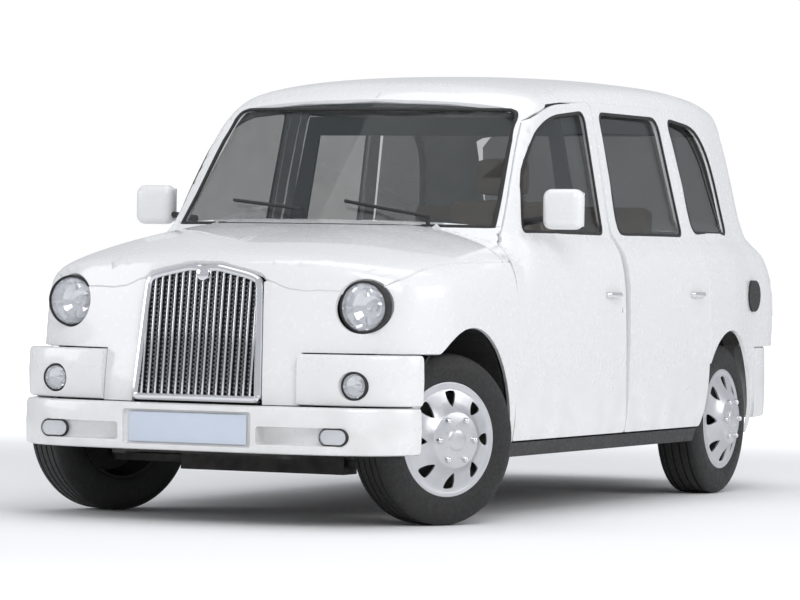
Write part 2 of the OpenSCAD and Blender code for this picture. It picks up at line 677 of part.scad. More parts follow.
// ---- inside ------------------------------------------------------------------------------
module bulkhead()
    color("dimgray") block([-sill_x + 60 + seal_gap, hinge_y - 40, floor_height - 20],
        [sill_x - 60 - seal_gap, hinge_y - 20, 1050]);
module engine_block()
    color("dimgray") block([-290, front_y - 400, floor_height - 20], [290, front_y + 300, 880]);
module dashboard()
    color("dimgray") side_prism([[hinge_y - 20 + seal_gap, 760], [hinge_y - 20 + seal_gap, 1045],
        [hinge_y + 200, 1085], [hinge_y + 330, 1060], [hinge_y + 340, 980], [hinge_y + 250, 780]],
        -dash_x, dash_x);
module steering_wheel()
    color("black") translate([370, hinge_y + 440, 1010]) rotate([-65, 0, 0]) {
        rotate_extrude($fn = 48) translate([190, 0]) circle(r = 15, $fn = 16);
        cylinder(r = 45, h = 25, center = true, $fn = 32);
        for (a = [90, 210, 330]) rotate([0, 0, a]) translate([30, -12, -6]) cube([155, 24, 12]);
        translate([0, 0, -101]) cylinder(r = 20, h = 101, $fn = 32);
    }
module driver_seat() {
    color("tan") translate([370, 0, 0]) {
        block([-180, hinge_y + 560, floor_height + seal_gap], [180, hinge_y + 960, floor_height + 240]);
        block([-235, hinge_y + 520, floor_height + 240], [235, hinge_y + 980, floor_height + seat_height]);
        side_prism([[hinge_y + 900, floor_height + seat_height - 1], [hinge_y + 1000, floor_height + seat_height - 1],
            [hinge_y + 1075, 1290], [hinge_y + 1000, 1300]], -225, 225);
        side_prism([[hinge_y + 1010, 1290], [hinge_y + 1060, 1290], [hinge_y + 1075, 1470],
            [hinge_y + 1000, 1470]], -120, 120);
    }
}
module partition() {
    color("dimgray") difference() {
        front_prism([[-wing_x, floor_height + seal_gap], [wing_x, floor_height + seal_gap],
            [wing_x, 1130], [header_x - 15, 1640], [15 - header_x, 1640], [-wing_x, 1130]],
            split_y - 100, split_y - 80);
        front_prism([[-600, 1190], [600, 1190], [540, 1560], [-540, 1560]], split_y - 150, split_y);
    }
}
module rear_seat() {
    color("tan") {
        block([-580, seat_y - 290, floor_height + seal_gap], [580, seat_y - seal_gap, floor_height + seat_height]);
        side_prism([[seat_y - 1, deck_z + seal_gap], [seat_y + 200, deck_z + seal_gap], [seat_y + 280, 1290],
            [seat_y + 170, 1300], [seat_y + 40, floor_height + seat_height],
            [seat_y - 1, floor_height + seat_height]], -580, 580);
    }
}

frame_rails();
floor_pan();
bulkhead();
scuttle();
roof();
body_side(left);  // body_side_left
body_side(right);  // body_side_right
rear_panel();
front_wing(left);  // front_wing_left
front_wing(right);  // front_wing_right
nose_panel();
grille();
front_bumper();
bumper_corners();
headlamps();
front_indicators();
fog_lamps();
number_plates();
windscreen();
rear_window();
quarter_windows();
wipers();
rear_bumper();
tail_lamps();
fuel_cap();
dashboard();
steering_wheel();
driver_seat();
partition();
rear_seat();
engine_block();
front_wheelhouses();
rear_wheelhouses();
front_axle();
rear_axle();
bonnet();
boot_lid();
door_front(left);  // door_front_left
door_front(right);  // door_front_right
door_rear(left);  // door_rear_left
door_rear(right);  // door_rear_right
glass_front(left);  // glass_front_left
glass_front(right);  // glass_front_right
glass_rear(left);  // glass_rear_left
glass_rear(right);  // glass_rear_right
mirror_arm(left);  // mirror_left
mirror_arm(right);  // mirror_right
knuckle(left);  // knuckle_left
knuckle(right);  // knuckle_right
tyre("front", left);  // tyre_front_left
tyre("front", right);  // tyre_front_right
tyre("rear", left);  // tyre_rear_left
tyre("rear", right);  // tyre_rear_right
rim("front", left);  // rim_front_left
rim("front", right);  // rim_front_right
rim("rear", left);  // rim_rear_left
rim("rear", right);  // rim_rear_right
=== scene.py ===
# %% [markdown]
# A tall four-door taxi cab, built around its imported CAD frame. The outside of a car is thin sheet
# metal, pressed in large dies and hung with even gaps, so most of this lesson is one idea used many
# times: draw the outline of a panel, cut it from a flat sheet, and press it onto the body's skin.

# %% Load the frame
import json
import math

import bmesh
import bpy
import numpy as np
from mathutils import Matrix, Vector


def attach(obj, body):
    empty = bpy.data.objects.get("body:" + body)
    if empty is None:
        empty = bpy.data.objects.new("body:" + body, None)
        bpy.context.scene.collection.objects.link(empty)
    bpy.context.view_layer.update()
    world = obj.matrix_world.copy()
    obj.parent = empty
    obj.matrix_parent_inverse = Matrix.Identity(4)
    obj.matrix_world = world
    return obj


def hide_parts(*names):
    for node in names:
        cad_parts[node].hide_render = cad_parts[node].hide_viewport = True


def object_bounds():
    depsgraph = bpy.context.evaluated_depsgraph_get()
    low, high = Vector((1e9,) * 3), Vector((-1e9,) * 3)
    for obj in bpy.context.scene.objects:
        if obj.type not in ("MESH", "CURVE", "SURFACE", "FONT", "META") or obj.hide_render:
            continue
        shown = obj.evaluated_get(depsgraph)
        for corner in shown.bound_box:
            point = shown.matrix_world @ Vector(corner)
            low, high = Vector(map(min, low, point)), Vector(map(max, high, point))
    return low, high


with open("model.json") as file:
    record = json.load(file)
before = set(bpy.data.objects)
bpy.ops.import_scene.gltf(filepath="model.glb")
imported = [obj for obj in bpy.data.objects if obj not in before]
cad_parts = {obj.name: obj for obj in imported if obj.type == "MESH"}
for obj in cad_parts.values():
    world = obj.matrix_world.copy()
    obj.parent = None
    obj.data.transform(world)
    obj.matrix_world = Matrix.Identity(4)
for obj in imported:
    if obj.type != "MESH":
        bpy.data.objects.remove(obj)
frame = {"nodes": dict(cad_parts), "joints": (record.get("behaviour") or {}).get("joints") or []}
cad_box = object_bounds()
print("the frame is", [round(v, 3) for v in cad_box[1] - cad_box[0]], "metres")

# %% [markdown]
# The skin is the body's outer surface. Like the lines on a body draughtsman's board it comes from a
# few tables: how wide the body is at each height and station, how high its middle line runs, and
# where the nose and tail stand. A monotone cubic runs through each table, because straight lines
# between the rows would show as ripples in a glossy paint.

# %% The tables of the body's lines, in millimetres
hub = {j["name"]: j["pos_m"] for j in frame["joints"]}
front_y, rear_y = hub["steer_left"][1] * 1000, hub["spin_rear_left"][1] * 1000
nose_y, tail_y = cad_box[0].y * 1000, cad_box[1].y * 1000
half_w, hinge_y, screen_y = 890.0, front_y + 435, front_y + 412
split_y, rear_door_y = hinge_y + 1188, rear_y - 301
SIDE = [(240, .950), (320, .978), (408, .992), (560, .997), (760, 1), (900, .998), (985, .988),
        (1060, .965), (1110, .930), (1150, .897), (1400, .842), (1660, .785), (1834, .735)]
PLAN = [(nose_y, .93), (front_y - 375, .945), (front_y - 150, .985), (front_y + 100, .992),
        (hinge_y, .995), (0, 1), (rear_y - 400, 1), (rear_y, .986), (rear_y + 380, .945), (tail_y, .90)]
NOSE = [(240, nose_y + 60), (472, nose_y + 66), (700, nose_y + 95), (900, nose_y + 122),
        (1000, nose_y + 142), (1050, nose_y + 160), (2000, nose_y + 1400)]
TAIL = [(240, tail_y - 90), (640, tail_y - 78), (780, tail_y - 72), (950, tail_y - 86),
        (1050, tail_y - 140), (1100, tail_y - 205), (1125, tail_y - 268), (1660, tail_y - 492),
        (1760, tail_y - 560), (1860, tail_y - 900)]
# station, height of the middle line, drop of the crown at 700, its power, sharpness of the edge
BONNET = [(nose_y, 950, 70, 2.6, 11), (front_y - 569, 1008, 70, 2.6, 11),
          (front_y - 475, 1042, 70, 2.6, 11), (front_y - 325, 1078, 70, 2.6, 11),
          (front_y - 125, 1118, 70, 2.6, 11), (front_y + 121, 1156, 70, 2.6, 11),
          (screen_y, 1187, 74, 2.6, 11), (tail_y, 1187, 90, 2.6, 11)]
CABIN = [(screen_y, 1187, 180, 2, 18), (screen_y + 180, 1359, 172, 2, 18),
         (screen_y + 528, 1692, 88, 2.1, 18), (screen_y + 600, 1732, 76, 2.4, 18),
         (screen_y + 720, 1771, 62, 2.6, 12), (screen_y + 960, 1800, 58, 2.6, 9),
         (screen_y + 1400, 1824, 56, 2.6, 9), (screen_y + 1900, 1834, 56, 2.6, 9),
         (screen_y + 2200, 1833, 56, 2.6, 9), (screen_y + 2560, 1818, 60, 2.6, 9),
         (screen_y + 2820, 1788, 66, 2.6, 9), (tail_y, 1690, 70, 2.6, 9)]


# %% A smooth curve through a table
def curve(table, column=1):
    """A function of the first column, through the rows of a table, in the table's own units."""
    x, v = (np.array([row[k] for row in table], float) for k in (0, column))
    rise = np.diff(v) / np.diff(x)
    same = rise[1:] * rise[:-1] > 0
    mean = np.where(same, 2 * rise[1:] * rise[:-1] / np.where(same, rise[1:] + rise[:-1], 1), 0)
    slope = np.concatenate([rise[:1], mean, rise[-1:]])

    def at(q):
        i = np.clip(np.searchsorted(x, q) - 1, 0, len(x) - 2)
        h, s = x[i + 1] - x[i], np.clip((q - x[i]) / (x[i + 1] - x[i]), 0, 1)
        inner = ((2 * s ** 3 - 3 * s ** 2 + 1) * v[i] + (s ** 3 - 2 * s ** 2 + s) * h * slope[i]
                 + (3 * s ** 2 - 2 * s ** 3) * v[i + 1] + (s ** 3 - s ** 2) * h * slope[i + 1])
        return inner + slope[0] * np.minimum(0, q - x[0]) + slope[-1] * np.maximum(0, q - x[-1])
    return at


side_share, plan_share, nose_line, tail_line = map(curve, (SIDE, PLAN, NOSE, TAIL))
FORMS = [[curve(table, k) for k in (1, 2, 3, 4)] for table in (BONNET, CABIN)]


def half_width(y, z, t=0.0):
    """Half width of the body at station y and height z, at depth t under the skin; millimetres."""
    side = half_w * side_share(z) * plan_share(y) - t
    nose = half_w * (np.maximum(0, y - t - nose_line(z)) / 250) ** (1 / 2.1)
    tail = half_w * (np.maximum(0, tail_line(z) - t - y) / 150) ** (1 / 2.4)
    widest = np.zeros_like(side)
    for height, drop, power, sharpness in FORMS:
        top = 700 * (np.maximum(0, height(y) - t - z) / drop(y)) ** (1 / power(y))
        terms = np.stack([side, top, nose, tail])
        joined = (np.maximum(terms / 1000, 1e-3) ** -sharpness(y)).sum(0) ** (-1 / sharpness(y)) * 1000
        widest = np.maximum(widest, np.where(terms.min(0) < 1, 0, joined))
    return widest


print("half width at the front door:",
      round(float(half_width(np.array([-500.0]), np.array([760.0]))[0]), 1))

# %% [markdown]
# Pressing moves points along one direction until they meet the skin. A side panel is pressed
# sideways, the roof upwards, and a panel that turns a corner is pressed at an angle, so that the
# sheet never has to stretch far. The skin's own slope then gives each corner of a face its normal.
# Light runs over the gaps between panels as it does over one continuous surface.


# %% Pressing points onto the skin
def press(points, direction, t=0.0):
    """Points, in millimetres, moved along a direction onto the skin at depth t, from outside."""
    p, d = np.array(points, float).reshape(-1, 3), np.array(direction, float)
    d = d / np.linalg.norm(d)

    def inside(s):
        q = p + s[:, None] * d
        return np.abs(q[:, 0]) < half_width(q[:, 1], q[:, 2], t)
    hit, miss, found = np.zeros(len(p)), np.full(len(p), 2600.0), np.zeros(len(p), bool)
    for step in np.arange(2600, -2600, -40.0):
        if found.all():
            break
        s = np.full(len(p), step)
        now = inside(s) & ~found
        hit, found = np.where(now, s, hit), found | now
        miss = np.where(found, miss, s)
    for _ in range(18):
        mid = (hit + miss) / 2
        ok = inside(mid)
        hit, miss = np.where(ok, mid, hit), np.where(ok, miss, mid)
    return p + hit[:, None] * d * found[:, None]


def skin_normal(p):
    """Outward unit normals of the skin at points in millimetres."""
    x, y, z = p.T
    e = 0.003
    dy = (half_width(y + e, z) - half_width(y - e, z)) / (2 * e)
    dz = (half_width(y, z + e) - half_width(y, z - e)) / (2 * e)
    n = np.stack([np.sign(x), -dy, -dz], 1)
    return n / np.linalg.norm(n, axis=1)[:, None]


def seen_from(view, points):
    """Points of the skin where it is met by a view: side (y, z), front or rear (x, z), top (x, y)."""
    a = np.array(points, float)
    zero = np.zeros(len(a))
    if view == "side":
        return press(np.stack([zero, a[:, 0], a[:, 1]], 1), (1, 0, 0))
    if view == "top":
        return press(np.stack([a[:, 0], a[:, 1], zero + 900], 1), (0, 0, 1))
    return press(np.stack([a[:, 0], zero, a[:, 1]], 1), (0, -1 if view == "front" else 1, 0))


def rounded(points, radius, steps=5, closed=True):
    """The outline with each corner replaced by a short curve."""
    p = [Vector(q) for q in points]
    r = radius if hasattr(radius, "__len__") else [radius] * len(p)
    out = []
    for i, here in enumerate(p):
        if not closed and i in (0, len(p) - 1) or r[i] == 0:
            out.append(here)
            continue
        back, on = p[i - 1] - here, p[(i + 1) % len(p)] - here
        a = here + back.normalized() * min(r[i], back.length * 0.48)
        b = here + on.normalized() * min(r[i], on.length * 0.48)
        out += [(1 - s) ** 2 * a + 2 * s * (1 - s) * here + s * s * b for s in np.linspace(0, 1, steps)]
    return [tuple(q) for q in out]


def arc(centre, radius, start, stop, steps=12, tall=1.0):
    """Points on an arc in the plane, angles in degrees."""
    return [(centre[0] + radius * math.cos(math.radians(a)),
             centre[1] + tall * radius * math.sin(math.radians(a)))
            for a in np.linspace(start, stop, steps)]


# %% [markdown]
# A panel starts as a flat outline, with a hole for each window. It is filled, sliced by planes into
# a lattice, pressed, thickened along the press direction, and its edges are rolled over by a small
# bevel, as real sheet is. The slicing gives the steel something to bend along.


# %% Cutting and pressing a panel
def put(name, bm, body, replaces=(), smooth=35):
    """Makes a bmesh an object that rides on a body."""
    mesh = bpy.data.meshes.new(name)
    bm.to_mesh(mesh)
    bm.free()
    obj = bpy.data.objects.new(name, mesh)
    bpy.context.scene.collection.objects.link(obj)
    mesh.shade_smooth()
    mesh.set_sharp_from_angle(angle=math.radians(smooth))
    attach(obj, body)
    if replaces:
        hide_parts(*replaces)
    return obj


def flat_sheet(loops, d, cell, cuts):
    """A flat lattice inside the first loop and outside the others, on the plane across d."""
    d = Vector(d).normalized()
    a = d.cross(Vector((0, 0, 1)) if abs(d.z) < 0.8 else Vector((0, 1, 0))).normalized()
    b = d.cross(a)
    to_flat = Matrix((a, b, d))
    bm = bmesh.new()
    for loop in loops:
        flat = [to_flat @ Vector(p) for p in loop]
        verts = [bm.verts.new((q.x, q.y, 0)) for q in flat]
        for i in range(len(verts)):
            bm.edges.new((verts[i - 1], verts[i]))
    bmesh.ops.triangle_fill(bm, use_beauty=True, edges=bm.edges[:], normal=(0, 0, 1))
    for axis in (0, 1):
        low, high = (f(v.co[axis] for v in bm.verts) for f in (min, max))
        normal = Vector((1, 0, 0)) if axis == 0 else Vector((0, 1, 0))
        for k in np.arange(math.ceil(low / cell) * cell, high, cell):
            bmesh.ops.bisect_plane(bm, geom=bm.verts[:] + bm.edges[:] + bm.faces[:], dist=1e-4,
                                   plane_co=normal * k, plane_no=normal)
    bmesh.ops.subdivide_edges(bm, edges=bm.edges[:], cuts=cuts, use_grid_fill=True)
    bmesh.ops.transform(bm, matrix=to_flat.transposed().to_4x4(), verts=bm.verts)
    return bm, d


def on_skin(bm, d, t):
    for v, place in zip(bm.verts, press([v.co for v in bm.verts], d, t)):
        v.co = place


def panel(name, loops, d, body="chassis", replaces=(), t=0.0, depth=5.0, cell=55, cuts=3,
          trim=(), mirror=False, rolled=2.0, paint=None, both=False):
    """A pressed panel, white unless it is given another paint.

    trim holds planes (point, normal, test) that cut away what lies beyond them.
    """
    bm, d = flat_sheet(loops, d, cell, cuts)
    on_skin(bm, d, t)
    for point, normal, test in trim:
        faces = [f for f in bm.faces if test(f.calc_center_median())]
        geom = list({e for f in faces for e in (*f.verts, *f.edges)}) + faces
        bmesh.ops.bisect_plane(bm, geom=geom, dist=1e-4, plane_co=point, plane_no=normal, clear_outer=True)
    bmesh.ops.recalc_face_normals(bm, faces=bm.faces)
    if sum(f.normal.dot(d) * f.calc_area() for f in bm.faces) < 0:
        bmesh.ops.reverse_faces(bm, faces=bm.faces)
    grown = bmesh.ops.extrude_face_region(bm, geom=bm.faces[:])
    back = [g for g in grown["geom"] if isinstance(g, bmesh.types.BMVert)]
    bmesh.ops.translate(bm, verts=back, vec=-d * depth)
    bmesh.ops.reverse_faces(bm, faces=bm.faces)
    bmesh.ops.recalc_face_normals(bm, faces=bm.faces)
    bm.normal_update()
    if rolled:
        behind = set(back)
        edges = [e for e in bm.edges if len(e.link_faces) == 2 and e.calc_face_angle() > 1.0
                 and not (e.verts[0] in behind or e.verts[1] in behind)]
        bmesh.ops.bevel(bm, geom=edges, offset=rolled, offset_type="OFFSET", segments=2, profile=0.5,
                        affect="EDGES", material=-1, clamp_overlap=True)
    if mirror or both:
        copy = bmesh.ops.mirror(bm, geom=bm.verts[:] + bm.edges[:] + bm.faces[:], axis="X",
                                merge_dist=-1)["geom"]
        if mirror:
            fresh = {g for g in copy if isinstance(g, bmesh.types.BMVert)}
            bmesh.ops.delete(bm, geom=[v for v in bm.verts if v not in fresh], context="VERTS")
        bmesh.ops.recalc_face_normals(bm, faces=bm.faces)
    bmesh.ops.scale(bm, vec=(0.001,) * 3, verts=bm.verts)
    obj = put(name, bm, body, replaces)
    polish(obj, t)
    obj.data.materials.append(paint or white_paint)


def polish(obj, t):
    """Gives the faces that lie on the skin the skin's own normals."""
    mesh = obj.data
    co = np.empty(len(mesh.vertices) * 3, np.float32)
    mesh.vertices.foreach_get("co", co)
    co = co.reshape(-1, 3).astype(float) * 1000
    n = skin_normal(co)
    deep = co + n * t
    on = np.abs(np.abs(deep[:, 0]) - half_width(deep[:, 1], deep[:, 2])) * np.abs(n[:, 0]) < 0.5
    on &= np.abs(co[:, 0]) > 8
    normals = np.zeros((len(mesh.loops), 3))
    own = np.empty(len(mesh.loops) * 3, np.float32)
    mesh.corner_normals.foreach_get("vector", own)
    own = own.reshape(-1, 3)
    for face in mesh.polygons:
        ids = list(face.vertices)
        good = on[ids].all() and np.dot(n[ids].mean(0), face.normal) > 0.8
        for loop, v in zip(face.loop_indices, ids):
            normals[loop] = n[v] if good else own[loop]
    mesh.normals_split_custom_set(normals)

# %% [markdown]
# A material here is a short sum, so the shader maths is written as Python expressions. One small
# class stands for a socket and turns each operator into a Math node.


# %% Shader maths as Python
class Value:
    """A socket of a node tree, with operators that add Math nodes."""

    def __init__(self, tree, socket):
        self.tree, self.socket = tree, socket

    def node(self, kind, inputs=(), out=0, **settings):
        made = self.tree.nodes.new(kind)
        for key, value in settings.items():
            setattr(made, key, value)
        for key, value in (inputs.items() if isinstance(inputs, dict) else enumerate(inputs)):
            if isinstance(value, Value):
                self.tree.links.new(value.socket, made.inputs[key])
            else:
                made.inputs[key].default_value = value
        return Value(self.tree, made.outputs[out])

    def __add__(self, other):
        return self.node("ShaderNodeMath", (self, other), operation="ADD")

    def __mul__(self, other):
        return self.node("ShaderNodeMath", (self, other), operation="MULTIPLY")

    def between(self, low, high, a=0.0, b=1.0):
        """Rises smoothly from a to b as the value goes from low to high."""
        return self.node("ShaderNodeMapRange", (self, low, high, a, b), interpolation_type="SMOOTHSTEP")

    def part(self, axis):
        return self.node("ShaderNodeSeparateXYZ", (self,), out=axis)

    def noise(self, scale, detail=3.0, roughness=0.5):
        return self.node("ShaderNodeTexNoise", {"Vector": self, "Scale": scale, "Detail": detail,
                                                "Roughness": roughness})

    def mix(self, a, b):
        """Colour a where the value is 0 and b where it is 1."""
        made = self.tree.nodes.new("ShaderNodeMix")
        made.data_type = "RGBA"
        self.tree.links.new(self.socket, made.inputs[0])
        for slot, colour in ((6, a), (7, b)):
            if isinstance(colour, Value):
                self.tree.links.new(colour.socket, made.inputs[slot])
            else:
                made.inputs[slot].default_value = (*colour, 1)
        return Value(self.tree, made.outputs[2])


def material(name, recipe, **constants):
    """A Principled material. recipe takes the object's coordinates and returns what varies."""
    made = bpy.data.materials.new(name)
    made.use_nodes = True
    tree = made.node_tree
    shader = tree.nodes["Principled BSDF"]
    for key, value in constants.items():
        shader.inputs[key.replace("_", " ")].default_value = value
    place = Value(tree, tree.nodes.new("ShaderNodeTexCoord").outputs["Object"])
    varying = recipe(place)
    bump = varying.pop("bump", None)
    if bump:
        height, depth = bump
        varying["Normal"] = place.node("ShaderNodeBump", {"Strength": 1.0, "Distance": depth,
                "Height": height})
    for key, value in varying.items():
        tree.links.new(value.socket, shader.inputs[key])
    return made


# %% [markdown]
# White paint is a pale base under a clear coat. Its finish is not quite flat: a fine orange peel
# breaks up reflections, road film dulls the lower panels, and a little dust lies on it in faint clouds.


# %% The finishes
def white_recipe(place):
    film = place.part(2).between(0.75, 0.25) * place.noise(7, 4).between(0.25, 0.8)
    cloud = place.noise(1.6, 2)
    colour = film.mix(cloud.mix((0.83, 0.835, 0.84), (0.86, 0.86, 0.86)), (0.72, 0.715, 0.70))
    return {"Base Color": colour, "Roughness": place.noise(40, 3).between(0.2, 0.8, 0.25,
            0.28) + film * 0.12,
            "bump": (place.noise(60, 2), 0.0000015)}


white_paint = material("white_paint", white_recipe, Coat_Weight=0.7, Coat_Roughness=0.04,
                       Specular_IOR_Level=0.5)


def plain(low, high, rough, scale=30.0, bump=0.0002, grain=300.0):
    """A finish that wanders between two colours and two roughnesses, with a fine grain."""
    def recipe(place):
        cloud = place.noise(scale, 4)
        return {"Base Color": cloud.mix(low, high), "Roughness": place.noise(scale * 2.3, 3).between(0.25,
                0.75, *rough),
                "bump": (place.noise(grain, 3), bump)}
    return recipe


black_plastic = material("black_plastic", plain((0.012, 0.012, 0.013), (0.03, 0.03, 0.031), (0.45, 0.65)))
black_rubber = material("black_rubber", plain((0.010, 0.010, 0.010), (0.022, 0.022, 0.022), (0.55, 0.75)))
dark_steel = material(
    "dark_steel", plain((0.02, 0.019, 0.018), (0.06, 0.055, 0.05), (0.5, 0.85), 9, 0.0006, 80))
chrome = material("chrome", plain((0.74, 0.75, 0.77), (0.82, 0.83, 0.85), (0.05, 0.13), 25, 0.00003),
                  Metallic=1.0)
silver = material("wheel_silver", plain((0.55, 0.56, 0.58), (0.66, 0.67, 0.69), (0.28, 0.42), 18, 0.00005),
                  Metallic=0.75)
cloth_tan = material(
    "seat_cloth", plain((0.26, 0.17, 0.11), (0.36, 0.25, 0.17), (0.75, 0.95), 60, 0.0004, 700))
trim_grey = material(
    "trim_grey", plain((0.09, 0.09, 0.095), (0.14, 0.14, 0.145), (0.6, 0.8), 12, 0.0003, 500))
plate_blank = material(
    "plate_blank", plain((0.58, 0.64, 0.74), (0.64, 0.70, 0.80), (0.3, 0.45), 12, 0.00003))


def glass_recipe(tint, clear):
    def recipe(place):
        smear = place.noise(5, 4).between(0.3, 0.8)
        return {"Base Color": smear.mix(tint, tuple(c * 1.15 for c in tint)),
                "Roughness": smear * 0.03 + 0.01, "Alpha": smear * 0.04 + clear}
    return recipe


window_glass = material("window_glass", glass_recipe((0.03, 0.04, 0.04), 0.34), Specular_IOR_Level=0.7)
privacy_glass = material("privacy_glass", glass_recipe((0.015, 0.018, 0.018), 0.62), Specular_IOR_Level=0.7)
lens_glass = material("lens_glass", glass_recipe((0.85, 0.87, 0.9), 0.16), Specular_IOR_Level=0.8)
red_lens = material("red_lens", plain((0.34, 0.006, 0.008), (0.42, 0.01, 0.012), (0.06, 0.12), 40, 0.00005),
                    Coat_Weight=0.6)
print("finishes:", len(bpy.data.materials))

# %% [markdown]
# The doors come first, because their gaps set every other line on the side of the body. A front
# door's window frame leans into the corner beside the windscreen, so it is pressed at an angle and
# its front edge is trimmed by the slanted plane of the pillar.

# %% Outlines on the side of the body
PILLAR_X, PILLAR_Z, PILLAR_LEAN = 741, 1150, 77 / 500
pillar_plane = Vector((PILLAR_X, 0, PILLAR_Z)), Vector((-1, 0, -PILLAR_LEAN)).normalized()
front_door_line = rounded([(hinge_y, 314), (hinge_y, 1028), (hinge_y + 130, 1120), (hinge_y + 150, 1240),
                           (hinge_y + 270, 1420), (hinge_y + 450, 1590), (hinge_y + 740, 1680),
                           (split_y - 12, 1704), (split_y - 12, 314)],
                          [12, 60, 30, 60, 90, 90, 120, 26, 14])
rear_door_line = rounded([(split_y, 314), (split_y, 1704), (rear_door_y - 164, 1704),
                          (rear_door_y - 65, 1150),
                          (rear_door_y - 10, 800), (rear_door_y, 600), (rear_door_y - 8, 500),
                          (rear_door_y - 38, 400), (rear_door_y - 78, 314)],
                          [14, 26, 46, 140, 120, 90, 50, 50, 20])
front_window_line = rounded([(hinge_y + 236, 1149), (hinge_y + 340, 1384), (hinge_y + 430, 1482),
                             (hinge_y + 524, 1556), (hinge_y + 640, 1603), (hinge_y + 758, 1632),
                             (split_y - 102, 1661), (split_y - 102, 1148)],
                            [30, 80, 50, 50, 55, 60, 46, 46])
rear_window_line = rounded([(split_y + 78, 1150), (split_y + 68, 1662), (rear_door_y - 224, 1662),
                            (rear_door_y - 136, 1150)], [46, 46, 60, 50])
quarter_line = rounded([(rear_door_y + 12, 1166), (rear_door_y - 96, 1664), (rear_door_y + 230, 1638),
                        (rear_door_y + 330, 1570), (rear_door_y + 400, 1480), (rear_door_y + 490, 1200),
                        (rear_door_y + 476, 1166)], [46, 50, 110, 50, 90, 40, 20])


def swollen(line, gap):
    """A closed outline grown outwards by a gap, or shrunk by a negative one."""
    p = np.array(line, float)
    along = np.roll(p, -1, 0) - np.roll(p, 1, 0)
    out = (np.stack([along[:, 1], -along[:, 0]], 1)
           / np.maximum(np.linalg.norm(along, axis=1), 1e-9)[:, None])
    area = (p[:, 0] * np.roll(p[:, 1], -1) - np.roll(p[:, 0], -1) * p[:, 1]).sum()
    return [tuple(q) for q in p + out * gap * (1 if area > 0 else -1)]


def arch_line(y, z, radius=382):
    return arc((y, z), radius, 0, 180, 31, 1.136)


print("outlines:", len(front_door_line), len(rear_door_line), len(quarter_line), "points")

# %% Door skins
CORNER, SIDE_ON = (0.87, -0.45, 0.15), (1, 0, 0.06)
above_belt = lambda c: c.z > 1125 and c.y < -650
for side, flip in (("left", False), ("right", True)):
    panel(f"door_skin_front_{side}", [seen_from("side", front_door_line), seen_from("side",
            front_window_line)],
          CORNER, f"door_front_{side}_body", (f"door_front_{side}",), mirror=flip,
          trim=[(*pillar_plane, above_belt)], depth=26)
    panel(f"door_skin_rear_{side}", [seen_from("side", rear_door_line), seen_from("side",
            rear_window_line)],
          SIDE_ON, f"door_rear_{side}_body", (f"door_rear_{side}",), mirror=flip, depth=26)

# %% [markdown]
# The body side is one pressing on the real cab. Here it is three sheets that meet edge to edge: the
# rail over the doors with the windscreen pillar, and the rear quarter, which turns the corner
# towards the tail. Their joints lie under the doors' edges or along the real seams.

# %% Rail and pillar
door_top = swollen(front_door_line, 7)
rail_y = -440.0
top_edge = [(y, 1709.5) for y in np.linspace(rail_y, rear_door_y - 150, 12)]
front_rail = [q for q in door_top if q[1] > 1500 and rail_y <= q[0] <= split_y - 30]
rear_rail = [q for q in swollen(rear_door_line, 6) if q[1] > 1640 and q[0] < rear_door_y - 120]
under_rail = sorted(front_rail) + sorted(q for q in rear_rail if q[0] > split_y - 5)
rail_loop = [(rail_y, under_rail[0][1])] + under_rail[1:] + top_edge[::-1]
pillar_inner = seen_from("front", rounded([(706.5, 1166), (672.5, 1400), (636.5, 1640), (600.5, 1651.5)],
                                          [0, 160, 30, 0], closed=False))
pillar_top = seen_from("front", [(600.5, 1670), (600.5, 1690), (600.5, 1709.5)])
pillar_rail = seen_from("side", [(y, 1709.5) for y in np.linspace(-462, rail_y, 3)])
rail_y_edge = seen_from("side", [(rail_y, z) for z in np.linspace(1709.5, under_rail[0][1], 5)][1:-1])
over_door = seen_from("side", sorted((q for q in door_top if -634 < q[0] < rail_y and q[1] > 1500),
                                     reverse=True))
pillar_outer = seen_from("front", [(741 - 7 - (z - 1150) * 77 / 500, z)
                                   for z in np.linspace(1604, 1168, 14)])
pillar_loop = np.concatenate([pillar_inner, pillar_top, pillar_rail, rail_y_edge,
                              seen_from("side", [(rail_y, under_rail[0][1])]), over_door, pillar_outer])
for side, flip in (("left", False), ("right", True)):
    panel(f"rail_{side}", [seen_from("side", rail_loop)], SIDE_ON, mirror=flip, depth=16,
          replaces=(f"body_side_{side}",), rolled=0)
    panel(f"pillar_{side}", [pillar_loop], (0.62, -0.55, 0.56), mirror=flip, depth=16,
          rolled=0, cell=40)
print("pillar loop", len(pillar_loop))

# %% The lamp circle and the bonnet's shut line
lamp_x, lamp_z = 633.0, 846.0
bonnet_y = screen_y - 50
shut_height = curve([(nose_y - 10, 909), (front_y - 480, 909), (front_y - 400, 950), (front_y - 225, 1000),
                     (front_y - 40, 1020), (hinge_y + 200, 1032)])


def shut_points(start, stop, gap, steps=18):
    return seen_from("side", [(y, float(shut_height(np.array([y]))[0]) - gap)
                              for y in np.linspace(start, stop, steps)])


def lamp_arc(radius, start, stop, steps=22):
    return seen_from("front", arc((lamp_x, lamp_z), radius, start, stop, steps))


def whole(half):
    """A loop over both sides from the half on the left, which starts and ends on the middle line."""
    half = np.asarray(half)
    return np.concatenate([half, (half * (-1, 1, 1))[::-1][1:-1]])


# %% [markdown]
# A wing is pressed towards the front corner. Its outline runs round the headlamp, back along the
# bonnet's shut line, down the door's gap and over the wheel arch.

